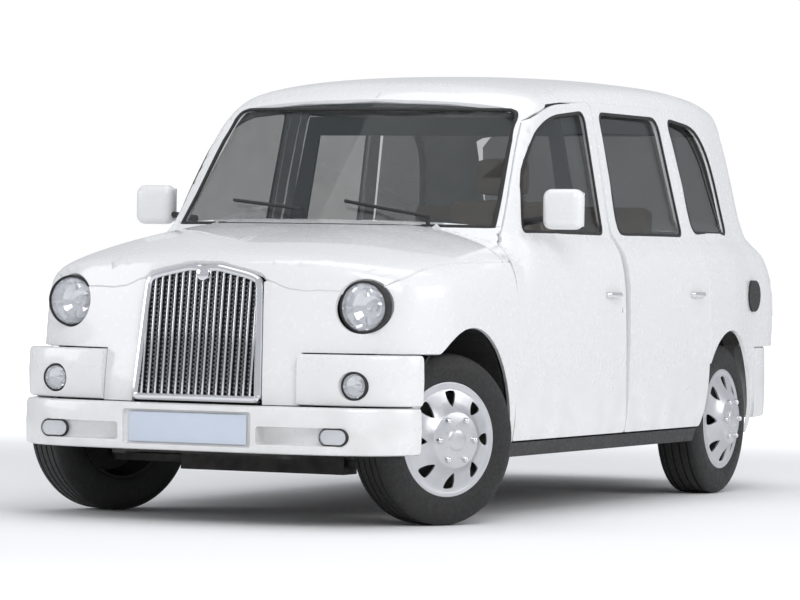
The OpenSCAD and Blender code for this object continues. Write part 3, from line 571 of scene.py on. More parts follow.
# %% Front wings and nose
arch_front = [(y, z) for y, z in arch_line(front_y, 335) if not (y < front_y and z < 669)]
wing_loop = np.concatenate([
    seen_from("front", [(690.5, 669.5), (690.5, 715)]), lamp_arc(102.6, -55.5, 48),
    shut_points(-2012, hinge_y - 7, 6),
    seen_from("side", [(hinge_y - 7, z) for z in (900, 700, 500, 300, 250)]),
    seen_from("side", [(front_y + 382, 250), (front_y + 382, 300)] + arch_front),
    seen_from("side", [(-1825, 669.5), (-1880, 669.5), (-1940, 669.5), (-1985, 669.5), (-2015, 669.5)])])
nose_loop = np.concatenate([
    seen_from("front", [(281.5, 467.5), (419, 467.5), (419, 669.5), (550, 669.5), (689.5, 669.5),
                        (689.5, 715)]),
    lamp_arc(102.6, -56.5, -214, 34),
    seen_from("front", [(532, 903), (473, 904), (417, 901), (350, 909), (320, 920), (291, 933), (262, 939),
                        (253.5, 934), (267, 700)])])
for side, flip in (("left", False), ("right", True)):
    panel(f"wing_{side}", [wing_loop], (0.75, -0.62, 0.2), mirror=flip, depth=22,
          replaces=(f"front_wing_{side}",))
panel("nose_skin", [nose_loop], (0, -1, 0.1), both=True, depth=20, replaces=("nose_panel",), cell=40)

# %% [markdown]
# The bonnet wraps down over the nose, so it is pressed half forwards and half up. Its front edge dips
# on both sides of the grille before it runs over the lamps.

# %% Bonnet, scuttle and roof
bonnet_half = np.concatenate([
    seen_from("front", [(0, 1012), (60, 1012), (112, 1000), (192, 983), (240, 970), (259, 951),
                        (272, 945.5),
                        (291, 939), (320, 926), (350, 915), (417, 907), (473, 910), (532, 909),
                        (545, 909)]),
    lamp_arc(107.6, 143, 50, 16), shut_points(-2008, bonnet_y, 0),
    seen_from("top", [(x, bonnet_y) for x in (840, 780, 640, 480, 320, 160, 0)])])
panel("bonnet_skin", [whole(bonnet_half)], (0, -0.6, 0.8), "bonnet_body", ("bonnet",), depth=22)
door_front_edge = [q for q in swollen(front_door_line, 7) if q[0] < hinge_y + 150 and 1035 < q[1] < 1150]
scuttle_half = np.concatenate([
    seen_from("top", [(x, bonnet_y + 5.5) for x in (0, 160, 320, 480, 640, 780, 850)]),
    shut_points(bonnet_y + 6, hinge_y - 8, -0.5, 4), seen_from("side", sorted(door_front_edge)),
    seen_from("front", [(733.5, 1150), (733.5, 1167), (706.8, 1163.3), (560, 1176), (400, 1182.3),
                        (200, 1185.5),
                        (0, 1186.4)])])
panel("scuttle_skin", [scuttle_half], (0.3, -0.35, 0.88), both=True, depth=12, rolled=0,
      replaces=("scuttle",), cell=40)
roof_half = np.concatenate([
    seen_from("front", [(0, 1692.6), (150, 1689), (300, 1684.6), (450, 1675), (560, 1662.6), (600, 1652.3),
                        (600, 1680), (600, 1700)]),
    seen_from("side", [(y, 1710) for y in np.linspace(-466, 1690, 40)]),
    seen_from("rear", [(600, 1709), (600, 1680), (600, 1640), (598, 1600), (585, 1608), (560.5, 1621),
                       (520, 1626),
                       (400, 1629), (200, 1630.6), (0, 1631)])])
panel("roof_skin", [whole(roof_half)], (0, -0.02, 1), depth=16, rolled=0, replaces=("roof",), cell=60)

# %% [markdown]
# The rear quarter turns the corner of the tail, so it is pressed towards that corner. It has holes for
# the quarter window, the filler and the tail lamp.

# %% Rear quarters, tail and boot lid
cap_y, cap_z = rear_y + 349, 886.0
door_edge = [q for q in swollen(rear_door_line, 6) if q[0] > rear_door_y - 170 and q[1] > 585]
door_edge = sorted(door_edge, key=lambda q: -q[1])
arch_rear = [(y, z) for y, z in arch_line(rear_y, 299) if not (y < rear_y and z > 560) or y > rear_y - 290]
arch_rear = [(y, z) for y, z in arch_rear[::-1] if not (y < rear_y and z < 585)]
lamp_hole = rounded([(630, 700), (752, 700), (752, 990), (630, 990)], 18)
quarter_loop = np.concatenate([
    seen_from("side", [q for q in door_edge if q[1] < 1700]), seen_from("side", arch_rear),
    seen_from("side", [(1693, 262), (1703.5, 262), (1703.5, 450), (1703.5, 653), (1800, 653), (1900, 653),
                       (1980, 653),
                       (2050, 653), (2100, 653)]),
    seen_from("rear", [(780, 653), (700, 653), (600.5, 653)]),
    seen_from("rear", [(600.5, z) for z in (760, 860, 960, 1020, 1060, 1090, 1110, 1130, 1160, 1230,
                                            1330, 1430, 1530, 1600, 1650, 1690)]),
    seen_from("side", [(y, 1709.5) for y in np.linspace(1690, rear_door_y - 157, 16)])])
cap_hole = arc((cap_y, cap_z), 72.5, 0, 348.75, 32)
for side, flip in (("left", False), ("right", True)):
    panel(f"quarter_{side}", [quarter_loop, seen_from("side", quarter_line), seen_from("rear", lamp_hole)]
          + ([seen_from("side", cap_hole)] if not flip else []), (0.75, 0.65, 0.12), mirror=flip,
          depth=18)
tail_half = seen_from("rear", [(0, 653), (300, 653), (599.5, 653), (599.5, 900), (599.5, 1100),
                               (599.5, 1188),
                               (566, 1186), (556, 1178.5), (300, 1178.5), (0, 1178.5)])
boot_line = rounded([(-500, 672), (500, 672), (520, 900), (500, 1108), (-500, 1108), (-520, 900)],
                    [40, 40, 160, 50, 50, 160])
panel("tail_skin", [whole(tail_half), seen_from("rear", swollen(boot_line, 6))], (0, 0.86, 0.5),
      depth=16, rolled=0, replaces=("rear_panel",), cell=45)
panel("boot_skin", [seen_from("rear", boot_line)], (0, 0.86, 0.5), "boot_lid_body", ("boot_lid",),
      depth=20, cell=45)

# %% Black sills under the doors
sill_line = [(hinge_y - 6, 249), (rear_y - 396, 249), (rear_y - 398, 306), (hinge_y - 6, 306)]
panel("sills", [seen_from("side", sill_line)], (1, 0, 0), t=5.0, both=True, paint=black_plastic,
      depth=120, rolled=4)

# %% [markdown]
# Bumpers, seals and trim are all a section carried along a path. Each place on the path gives a
# point, a direction across and a direction out, the section is drawn there as a ring of edges, and
# the rings are bridged. Round pieces are a half section spun about their axis instead.


# %% Sweeping, spinning and cutting
def sweep(frames, section, closed=False):
    """A bmesh of a closed section carried along frames of (point, across, out), in metres."""
    bm = bmesh.new()
    rings = []
    for point, across, out in frames:
        verts = [bm.verts.new(Vector(point) + Vector(across) * a + Vector(out) * b) for a, b in section]
        rings.append([bm.edges.new((verts[i - 1], verts[i])) for i in range(len(verts))])
    for i in range(len(rings) - (0 if closed else 1)):
        bmesh.ops.bridge_loops(bm, edges=rings[i] + rings[(i + 1) % len(rings)])
    if not closed:
        for ring in (rings[0], rings[-1]):
            bmesh.ops.contextual_create(bm, geom=ring)
    bmesh.ops.recalc_face_normals(bm, faces=bm.faces)
    return bm


def spun(profile, steps=48, at=Matrix()):
    """A bmesh of a half section of (radius, height) spun about +Z and then placed, in metres."""
    bm = bmesh.new()
    verts = [bm.verts.new((r, 0, h)) for r, h in profile]
    edges = [bm.edges.new(pair) for pair in zip(verts, verts[1:])]
    bmesh.ops.spin(bm, geom=verts + edges, axis=(0, 0, 1), cent=(0, 0, 0), steps=steps, angle=math.tau,
                   use_merge=True)
    bmesh.ops.remove_doubles(bm, verts=bm.verts, dist=1e-6)
    bmesh.ops.recalc_face_normals(bm, faces=bm.faces)
    bmesh.ops.transform(bm, matrix=at, verts=bm.verts)
    return bm


def box_piece(low, high, bevel=0.003, segments=2):
    """A bmesh block between two corners with its edges rounded."""
    bm = bmesh.new()
    low, high = Vector(low), Vector(high)
    bmesh.ops.create_cube(bm, size=1,
                          matrix=Matrix.Translation((low + high) / 2) @ Matrix.Diagonal((*(high - low), 1)))
    if bevel:
        bmesh.ops.bevel(bm, geom=bm.edges[:], offset=bevel, segments=segments, profile=0.5, affect="EDGES",
                        offset_type="OFFSET", material=-1, clamp_overlap=True)
    return bm


def gather(target, *parts):
    """Adds other bmeshes to the first."""
    for part in parts:
        mesh = bpy.data.meshes.new("part")
        part.to_mesh(mesh)
        part.free()
        target.from_mesh(mesh)
        bpy.data.meshes.remove(mesh)
    return target


def moved(bm, matrix):
    bmesh.ops.transform(bm, matrix=matrix, verts=bm.verts)
    return bm


def mirrored(bm):
    """Adds the same shape on the other side of the car."""
    bmesh.ops.mirror(bm, geom=bm.verts[:] + bm.edges[:] + bm.faces[:], axis="X", merge_dist=-1)
    bmesh.ops.recalc_face_normals(bm, faces=bm.faces)
    return bm


def cut(obj, *cutters):
    """Cuts bmeshes out of an object with an exact boolean, and keeps the result as its mesh."""
    for cutter in cutters:
        mesh = bpy.data.meshes.new("cutter")
        cutter.to_mesh(mesh)
        cutter.free()
        tool = bpy.data.objects.new("cutter", mesh)
        bpy.context.scene.collection.objects.link(tool)
        step = obj.modifiers.new("cut", "BOOLEAN")
        step.object, step.solver = tool, "EXACT"
        evaluated = obj.evaluated_get(bpy.context.evaluated_depsgraph_get())
        result = bpy.data.meshes.new_from_object(evaluated)
        obj.modifiers.clear()
        obj.data = result
        bpy.data.objects.remove(tool)
        bpy.data.meshes.remove(mesh)
    obj.data.shade_smooth()
    obj.data.set_sharp_from_angle(angle=math.radians(35))


def piece(name, bm, finish, body="chassis", replaces=(), slot=None, smooth=35):
    obj = put(name, bm, body, replaces, smooth)
    obj.data.materials.append(finish)
    return obj


def along_skin(loop, t=0.0, closed=True):
    """Frames for a sweep along points of the skin: across lies in the skin, out is its normal."""
    p = np.asarray(loop, float)
    n = skin_normal(p)
    ahead = np.roll(p, -1, 0) - np.roll(p, 1, 0)
    if not closed:
        ahead[0], ahead[-1] = p[1] - p[0], p[-1] - p[-2]
    ahead /= np.maximum(np.linalg.norm(ahead, axis=1), 1e-6)[:, None]
    across = np.cross(n, ahead)
    across /= np.linalg.norm(across, axis=1)[:, None]
    return [(q / 1000 - m * t / 1000, a, m) for q, a, m in zip(p, across, n)]


def dense(loop, gap=18.0):
    """The loop with points added so that none are further apart than a gap."""
    p = np.asarray(loop, float)
    out = []
    for a, b in zip(p, np.roll(p, -1, 0)):
        n = max(1, int(np.ceil(np.linalg.norm(b - a) / gap)))
        out += [a + (b - a) * k / n for k in range(n)]
    return np.array(out)


# %% [markdown]
# The bumpers are moulded plastic, painted like the body. In plan they are almost flat in front and
# turn in a tight curve at the corners, which a fourth-power ellipse gives. Recesses for the plate and
# the lamps are cut afterwards.


# %% Bumpers
def bumper_frames(w, b, y0, steps=26):
    half = []
    for i in range(steps + 1):
        a = math.radians(90 * (i / steps) ** 2)
        x, y = w * math.sqrt(math.sin(a)), y0 + b * math.cos(a)
        out = Vector((4 * x ** 3 / w ** 4, 2 * (y - y0) / b ** 2, 0)).normalized()
        half.append((Vector((x, y, 0)), out, Vector((0, 0, 1))))
    other = [(Vector((-p.x, p.y, 0)), Vector((-o.x, o.y, 0)), u) for p, o, u in half[1:]]
    return other[::-1] + half


def bar_section(low, high, depth, crease=None):
    """A closed section of a bumper: rounded above and below, with a faint crown."""
    mid = crease or (low + high) / 2
    outer = [(-0.012, low), (-0.004, low + 0.004), (0, low + 0.014), (0.003, mid), (0, high - 0.014),
             (-0.004, high - 0.004), (-0.012, high)]
    return [(-depth, low)] + outer + [(-depth, high)]


nose, tail = nose_y / 1000, tail_y / 1000
front_end, rear_end = (front_y - 393) / 1000, (rear_y + 393) / 1000
bumper = piece("front_bumper_skin", sweep(bumper_frames(0.842, nose + 0.003 - front_end, front_end),
                                          bar_section(0.285, 0.464, 0.10)), white_paint,
               replaces=("front_bumper",), slot="white_paint")
slots = mirrored(box_piece((0.296, nose - 0.1, 0.320), (0.715, nose + 0.062, 0.389), 0.012, 3))
cut(bumper, box_piece((-0.275, nose - 0.1, 0.306), (0.275, nose + 0.024, 0.441), 0.012, 3), slots)
corner = piece("bumper_corner_skin", sweep(bumper_frames(0.849, nose + 0.091 - front_end, front_end),
                                           bar_section(0.4705, 0.664, 0.085)), white_paint,
               replaces=("bumper_corners",), slot="white_paint")
facing = Matrix.Rotation(math.radians(90), 4, "X")
bowl = mirrored(spun([(0, 0.2), (0.060, 0.2), (0.058, 0.004), (0.0552, -0.004), (0.0545, -0.05), (0, -0.05)],
                     48, Matrix.Translation((0.645, nose + 0.128, 0.547)) @ facing))
cut(corner, box_piece((-0.421, nose - 0.1, 0.3), (0.421, nose + 0.6, 0.8), 0.0), bowl)
rear = piece("rear_bumper_skin", sweep(bumper_frames(0.842, tail - 0.003 - rear_end, rear_end),
                                       bar_section(0.330, 0.650, 0.10, 0.47)), white_paint,
             replaces=("rear_bumper",), slot="white_paint")
cut(rear, box_piece((-0.275, tail - 0.012, 0.487), (0.275, tail + 0.1, 0.624), 0.010, 3))
print("bumpers:", len(bumper.data.polygons), len(corner.data.polygons), len(rear.data.polygons), "faces")

# %% Plates, blank
plates = gather(box_piece((-0.252, nose + 0.014, 0.316), (0.252, nose + 0.020, 0.430), 0.002),
                box_piece((-0.260, tail - 0.010, 0.500), (0.260, tail - 0.005, 0.611), 0.002))
piece("plates_blank", plates, plate_blank, replaces=("number_plates",), slot="plate")

# %% [markdown]
# The grille is the face of the cab: a bright surround with an arched top, seventeen upright bars, and
# a folded mesh behind them. It leans back with the nose, so it is built upright and then leant.

# %% Grille
BAR_GAP, GRILLE_FOOT = 0.0292, 0.472
lean = (Matrix.Translation((0, nose + 0.078, GRILLE_FOOT)) @ Matrix.Rotation(-math.atan(66 / 531), 4, "X")
        @ Matrix.Translation((0, 0, -GRILLE_FOOT)))
grille_half = rounded([(0, 487), (264, 487), (237, 935), (222, 950), (186, 962), (108, 979),
                       (58, 990), (0, 984)], [0, 18, 26, 16, 30, 30, 24, 0], closed=False)
grille_line = dense([(x, 0, z) for x, z in grille_half]
                    + [(-x, 0, z) for x, z in grille_half[::-1][1:-1]], 22)
ahead = np.roll(grille_line, -1, 0) - np.roll(grille_line, 1, 0)
outward = np.stack([ahead[:, 2], 0 * ahead[:, 0], -ahead[:, 0]], 1)
outward /= np.linalg.norm(outward, axis=1)[:, None]
surround = sweep([(p / 1000, o, (0, -1, 0)) for p, o in zip(grille_line, outward)],
                 [(-0.014, -0.022), (-0.014, 0.002), (-0.010, 0.009), (-0.002, 0.014), (0.007, 0.012),
                  (0.0135, 0.004), (0.0145, -0.022)], closed=True)
grille_top = curve([(0, 976), (60, 978), (110, 966), (190, 948), (240, 925)])
bars = bmesh.new()
for k in range(-8, 9):
    x = k * BAR_GAP
    top = float(grille_top(np.array([abs(x) * 1000.0]))[0]) / 1000
    gather(bars, box_piece((x - 0.0044, -0.006, 0.492), (x + 0.0044, 0.012, top), 0.0022, 2))
badge = spun([(0, 0.013), (0.020, 0.012), (0.027, 0.008), (0.029, 0.002), (0.029, -0.01), (0, -0.01)], 40,
             Matrix.Translation((0, -0.008, 0.966)) @ facing)
piece("grille_surround", moved(gather(surround, badge), lean), chrome, replaces=("grille",), slot="chrome")
piece("grille_bars", moved(bars, lean), chrome, slot="chrome")
folds = bmesh.new()
for k in range(-9, 9):
    x, width = (k + 0.5) * BAR_GAP, 0.0052
    top = float(grille_top(np.array([abs(x) * 1000.0]))[0]) / 1000 - 0.004
    places = np.arange(0.496, top, 0.0085)
    verts = [folds.verts.new((x + (width if i % 2 else -width), 0.004, z)) for i, z in enumerate(places)]
    edges = [folds.edges.new(pair) for pair in zip(verts, verts[1:])]
    grown = bmesh.ops.extrude_edge_only(folds, edges=edges)["geom"]
    bmesh.ops.translate(folds, verts=[g for g in grown if isinstance(g, bmesh.types.BMVert)],
                        vec=(0, 0.014, 0))
bmesh.ops.recalc_face_normals(folds, faces=folds.faces)
bmesh.ops.solidify(folds, geom=folds.faces[:], thickness=0.0022)
mesh_grey = material("grille_mesh", plain((0.30, 0.31, 0.32), (0.42, 0.43, 0.44), (0.25, 0.4), 30, 0.00005),
                     Metallic=0.8)
piece("grille_mesh", moved(folds, lean), mesh_grey, slot="chrome")
back = gather(box_piece((-0.262, 0.024, 0.480), (0.262, 0.030, 0.94), 0.001),
              box_piece((-0.19, 0.024, 0.93), (0.19, 0.030, 0.972), 0.001))
piece("grille_shadow", moved(back, lean), black_plastic, slot="black_plastic")

# %% [markdown]
# A wheel is made once about its own axle, pointing out along +Z, and then set at each corner. The
# front pair stands turned about its kingpins, as the cab is parked.

# %% Wheels
TYRE_R, TYRE_HALF, HUB_Z = 0.334, 0.1015, 0.335
GROOVE, OPENINGS, NUTS = 0.008, 8, 6
PARKED_STEER, KINGPIN_X, WHEEL_X = math.radians(-27), 0.669, 0.734


def tyre_shape():
    tread = [(0.2055, -0.088), (0.214, -0.094), (0.228, -0.0965), (0.245, -0.1005), (0.262, -TYRE_HALF),
             (0.285, -0.1005), (0.304, -0.096), (0.320, -0.090), (0.3295, -0.082)]
    crown = []
    for middle in (-0.054, -0.018, 0.018, 0.054):
        crown += [(TYRE_R, middle - 0.0042), (TYRE_R - GROOVE, middle - 0.0032),
                  (TYRE_R - GROOVE, middle + 0.0032), (TYRE_R, middle + 0.0042)]
    outer = (tread + [(TYRE_R - 0.001, -0.074)] + crown + [(TYRE_R - 0.001, 0.074)]
             + [(r, -h) for r, h in tread[::-1]])
    bore = [(0.2055, 0.06), (0.2055, -0.06), tread[0]]
    return spun(outer + bore, 96)


def trim_shape():
    face = [(0.0, 0.1575), (0.030, 0.1565), (0.040, 0.153), (0.044, 0.1495), (0.060, 0.1485),
            (0.104, 0.1455), (0.112, 0.141), (0.120, 0.130), (0.150, 0.114), (0.188, 0.099),
            (0.198, 0.0955), (0.206, 0.097), (0.214, 0.0995), (0.222, 0.0975), (0.2265, 0.091),
            (0.2265, 0.086)]
    back = [(0.218, 0.0905), (0.198, 0.0895), (0.186, 0.092), (0.148, 0.107), (0.116, 0.123),
            (0.104, 0.137), (0.0, 0.141)]
    return spun(face + back, 96)


def opening(k):
    """One swirled teardrop of the trim, as a solid to cut with."""
    line = [(0.125, 0.006), (0.150, -0.014), (0.178, -0.026), (0.190, -0.022), (0.190 + 0.001, 0.002),
            (0.186, 0.024), (0.160, 0.022), (0.138, 0.014)]
    low, high = 0.05, 0.2
    path = rounded([(x * 1000, y * 1000) for x, y in line], 9, closed=True)
    bm = bmesh.new()
    for z in (low, high):
        verts = [bm.verts.new((x / 1000, y / 1000, z)) for x, y in path]
        bm.faces.new(verts)
    rings = [[e for e in bm.edges if all(abs(v.co.z - z) < 1e-6 for v in e.verts)] for z in (low, high)]
    bmesh.ops.bridge_loops(bm, edges=rings[0] + rings[1])
    bmesh.ops.recalc_face_normals(bm, faces=bm.faces)
    return moved(bm, Matrix.Rotation(math.tau * k / OPENINGS, 4, "Z"))


barrel = [(0.2045, -0.092), (0.2045, 0.088), (0.196, 0.084), (0.186, 0.05), (0.17, 0.04), (0.09, 0.06),
          (0.0, 0.06), (0.0, 0.045), (0.09, 0.045), (0.175, 0.022), (0.192, -0.03), (0.196, -0.088),
          (0.2045, -0.092)]
nuts = bmesh.new()
for k in range(NUTS):
    turn = Matrix.Rotation(math.tau * (k + 0.5) / NUTS, 4, "Z") @ Matrix.Translation((0.086, 0, 0.144))
    gather(nuts, spun([(0, 0.020), (0.006, 0.019), (0.0105, 0.015), (0.012, 0.008), (0.0135, 0.002),
                       (0.0135, -0.004), (0, -0.004)], 24, turn))
    turn = Matrix.Rotation(math.tau * k / NUTS, 4, "Z") @ Matrix.Translation((0.045 + 0.012, 0, 0.1475))
    gather(nuts, spun([(0, 0.0035), (0.002, 0.003), (0.0032, 0.001), (0.0032, -0.002), (0, -0.002)], 12,
                      turn))
nut_mesh = bpy.data.meshes.new("nuts")
nuts.to_mesh(nut_mesh)
nuts.free()
shaped = put("wheel_trim_shape", trim_shape(), "wheel_front_left")
cut(shaped, gather(*(opening(k) for k in range(OPENINGS))))
trim_mesh = shaped.data.copy()
bpy.data.objects.remove(shaped)


def copy_of(mesh):
    bm = bmesh.new()
    bm.from_mesh(mesh)
    return bm


for end, along in (("front", front_y / 1000), ("rear", rear_y / 1000)):
    for hand, sign in (("left", 1), ("right", -1)):
        centre = Vector((sign * WHEEL_X, along, HUB_Z))
        turned = Matrix()
        if end == "front":
            turned = Matrix.Rotation(PARKED_STEER, 4, "Z")
            centre = (Vector((sign * KINGPIN_X, along, HUB_Z))
                      + turned @ Vector((sign * (WHEEL_X - KINGPIN_X), 0, 0)))
        place = Matrix.Translation(centre) @ turned @ Matrix.Rotation(sign * math.pi / 2, 4, "Y")
        body, tag = f"wheel_{end}_{hand}", f"{end}_{hand}"
        piece(f"tyre_rubber_{tag}", moved(tyre_shape(), place), black_rubber, body, (f"tyre_{tag}",),
              "tyre", 28)
        piece(f"wheel_barrel_{tag}", moved(spun(barrel, 64), place), dark_steel, body, (f"rim_{tag}",),
              "wheel_silver")
        piece(f"wheel_trim_{tag}", moved(copy_of(trim_mesh), place), silver, body, (), "wheel_silver")
        piece(f"wheel_nuts_{tag}", moved(copy_of(nut_mesh), place), chrome, body, (), "chrome")
print("wheels set")

# %% [markdown]
# The lamps are round, so each is a few half sections spun about the same axis: a black ring, a
# faceted bright bowl, a bulb cover and a clear lens.

# %% Lamps
SIDE_LAMP_X, SIDE_LAMP_Z, FOG_X, FOG_Z, FOG_HALF = 0.645, 0.547, 0.600, 0.3545, 0.025
lamp_parts = {"ring": bmesh.new(), "bowl": bmesh.new(), "lens": bmesh.new()}
HEAD_RING = [(0.1005, -0.04), (0.1015, 0.002), (0.1, 0.008), (0.096, 0.010), (0.0925, 0.006),
             (0.092, -0.04), (0.1005, -0.04)]
HEAD_BOWL = [(0.093, 0.0), (0.088, -0.022), (0.07, -0.05), (0.045, -0.068), (0.02, -0.076), (0.017, -0.05),
             (0.012, -0.044), (0, -0.042), (0, -0.086), (0.045, -0.078), (0.076, -0.06),
             (0.093, -0.03), (0.093, 0.0)]
HEAD_LENS = [(0, 0.022), (0.03, 0.0205), (0.06, 0.0165), (0.082, 0.010), (0.0925, 0.003), (0.0925, -0.001),
             (0.082, 0.006), (0.06, 0.0125), (0.03, 0.0165), (0, 0.018)]
SIDE_RING = [(0.0535, -0.03), (0.0538, 0.001), (0.0515, 0.005), (0.0475, 0.004), (0.0465, -0.03),
             (0.0535, -0.03)]
SIDE_BOWL = [(0.0468, -0.002), (0.04, -0.018), (0.02, -0.028), (0.008, -0.03), (0.006, -0.016), (0, -0.015),
             (0, -0.034), (0.04, -0.03), (0.0468, -0.012), (0.0468, -0.002)]
SIDE_LENS = [(0, 0.012), (0.02, 0.011), (0.036, 0.007), (0.0468, 0.001), (0.0468, -0.002), (0.036, 0.004),
             (0.02, 0.008), (0, 0.009)]
for side in (1, -1):
    head = Matrix.Translation((side * lamp_x / 1000, nose + 0.236, lamp_z / 1000)) @ facing
    turn = Matrix.Translation((side * SIDE_LAMP_X, nose + 0.136, SIDE_LAMP_Z)) @ facing
    for key, big, small in (("ring", HEAD_RING, SIDE_RING), ("bowl", HEAD_BOWL, SIDE_BOWL),
                            ("lens", HEAD_LENS, SIDE_LENS)):
        gather(lamp_parts[key], spun(big, 48 if key != "bowl" else 18, head),
               spun(small, 40 if key != "bowl" else 14, turn))


def stadium(half_width_x, radius, centre, steps=12):
    """Points round a slot with half-round ends."""
    points = []
    for side, start in ((1, -90), (-1, 90)):
        for k in range(steps + 1):
            a = math.radians(start + 180 * k / steps)
            points.append((centre[0] + side * half_width_x + radius * math.cos(a),
                           centre[1] + radius * math.sin(a)))
    return points


for side in (1, -1):
    at = (side * FOG_X, FOG_Z)
    path = stadium(FOG_HALF, 0.031, at)
    frames = []
    for x, z in path:
        cx = at[0] + max(-FOG_HALF, min(FOG_HALF, x - at[0]))
        frames.append((Vector((x, nose + 0.056, z)), Vector((x - cx, 0, z - at[1])).normalized(),
                       Vector((0, -1, 0))))
    gather(lamp_parts["ring"], sweep(frames, [(-0.005, -0.02), (-0.004, 0.004), (0, 0.008), (0.004, 0.004),
                                              (0.003, -0.02)], closed=True))
    for key, size, near, far in (("bowl", 0.029, 0.052, 0.07), ("lens", 0.0295, 0.046, 0.050)):
        flat = stadium(FOG_HALF, size, (0, 0), 10)
        ends = [(Vector((at[0], nose + d, at[1])), Vector((1, 0, 0)), Vector((0, 0, 1)))
                for d in (far, near)]
        gather(lamp_parts[key], sweep(ends, flat))
piece("lamp_rings", lamp_parts["ring"], black_rubber, slot="black_plastic")
piece("lamp_bowls", lamp_parts["bowl"], chrome, slot="chrome", smooth=12)
piece("lamp_lenses", lamp_parts["lens"], lens_glass,
      replaces=("headlamps", "front_indicators", "fog_lamps"), slot="clear_lamp")

# %% [markdown]
# The windscreen and the side windows have black rubber seals, carried round their outlines on the
# body surface. The seals of the doors ride with the doors.

# %% Seals
SEAL = [(-0.008, -0.005), (-0.007, 0.0005), (-0.003, 0.0022), (0.003, 0.0022), (0.007, 0.0005),
        (0.008, -0.005)]
for sign, hand in ((1, "left"), (-1, "right")):
    for name, line, body in (("front", front_window_line, f"door_front_{hand}_body"),
                             ("rear", rear_window_line, f"door_rear_{hand}_body"),
                             ("quarter", quarter_line, "chassis")):
        loop = dense(seen_from("side", line))
        loop[:, 0] *= sign
        piece(f"seal_{name}_{hand}", sweep(along_skin(loop), SEAL, closed=True), black_rubber, body, (),
              "black_plastic")
right_edge = [(float(p[0]), float(p[2])) for p in np.asarray(pillar_inner)]
screen_line = (right_edge + [(x, 1652.0) for x in np.linspace(570, -570, 30)]
               + [(-x, z) for x, z in right_edge[::-1]] + [(x, 1166.0) for x in np.linspace(-680, 680, 30)])
loop = dense(seen_from("front", screen_line))
piece("seal_windscreen", sweep(along_skin(loop), [(a * 1.2, b) for a, b in SEAL], closed=True),
      black_rubber, slot="black_plastic")

# %% Handles, locks and repeaters
HANDLE_Z, HANDLE_HALF, HANDLE_POINTS = 895, 78, 15


def oval(wide, tall, steps):
    return [(wide * math.cos(a), tall * math.sin(a))
            for a in np.linspace(0, math.tau, steps, endpoint=False)]


for sign, hand in ((1, "left"), (-1, "right")):
    for end, middle in (("front", -155), ("rear", 830)):
        ys = np.linspace(middle - HANDLE_HALF, middle + HANDLE_HALF, HANDLE_POINTS)
        grip = seen_from("side", [(y, HANDLE_Z) for y in ys])
        grip[:, 0] *= sign
        lift = [0.004 + 0.018 * math.sin(math.pi * k / (HANDLE_POINTS - 1)) ** 0.5
                for k in range(HANDLE_POINTS)]
        frames = [(p + m * u, a, m) for (p, a, m), u in zip(along_skin(grip, closed=False), lift)]
        bar = sweep(frames, oval(0.011, 0.006, 12))
        piece(f"handle_{end}_{hand}", bar, chrome, f"door_{end}_{hand}_body", (), "chrome")
    for name, y, z, size, finish, body in (("lock", -55, 828, 0.011, chrome, f"door_front_{hand}_body"),
                                           ("repeater", -1272, 860, 0.019, lens_glass, "chassis")):
        spot = seen_from("side", [(y, z)])
        spot[:, 0] *= sign
        out = Vector(skin_normal(spot)[0])
        where = (Matrix.Translation(Vector(spot[0] / 1000))
                 @ out.to_track_quat("Z", "Y").to_matrix().to_4x4())
        dome = [(0, 0.35), (0.5, 0.3), (0.85, 0.18), (1, 0.02), (1, -0.2), (0, -0.2)]
        piece(f"{name}_{hand}", spun([(r * size, h * size) for r, h in dome], 32, where), finish, body, (),
              "chrome" if name == "lock" else "clear_lamp")

# %% [markdown]
# The mirrors have deep rounded housings on an arm, and each rides on its door.

# %% Mirrors
for sign, hand in ((1, "left"), (-1, "right")):
    def there(x0, y0, z0, x1, y1, z1):
        return (min(sign * x0, sign * x1), y0, z0), (max(sign * x0, sign * x1), y1, z1)
    shell = box_piece(*there(0.845, -0.850, 1.160, 1.014, -0.762, 1.324), 0.036, 6)
    arm = [(Vector((sign * x, y, z)), Vector((0, 1, 0)), Vector((0, 0, 1)))
           for x, y, z in ((0.735, -0.815, 1.186), (0.79, -0.812, 1.192), (0.868, -0.806, 1.205))]
    piece(f"mirror_shell_{hand}", shell, white_paint, f"door_front_{hand}_body", (f"mirror_{hand}",),
          "white_paint")
    piece(f"mirror_arm_{hand}", sweep(arm, oval(0.020, 0.014, 14)), black_plastic,
          f"door_front_{hand}_body", (), "black_plastic")
    piece(f"mirror_glass_{hand}", box_piece(*there(0.858, -0.764, 1.173, 1.001, -0.7585, 1.311), 0.0025, 2),
          chrome, f"door_front_{hand}_body", (), "chrome")
print("lamps, seals, handles and mirrors set")

# %% [markdown]
# The seats are foam under cloth. A plain block is subdivided and each face is crowned, so the pad
# swells in the middle and is held in at the edges, and then the seams are pulled in as channels.

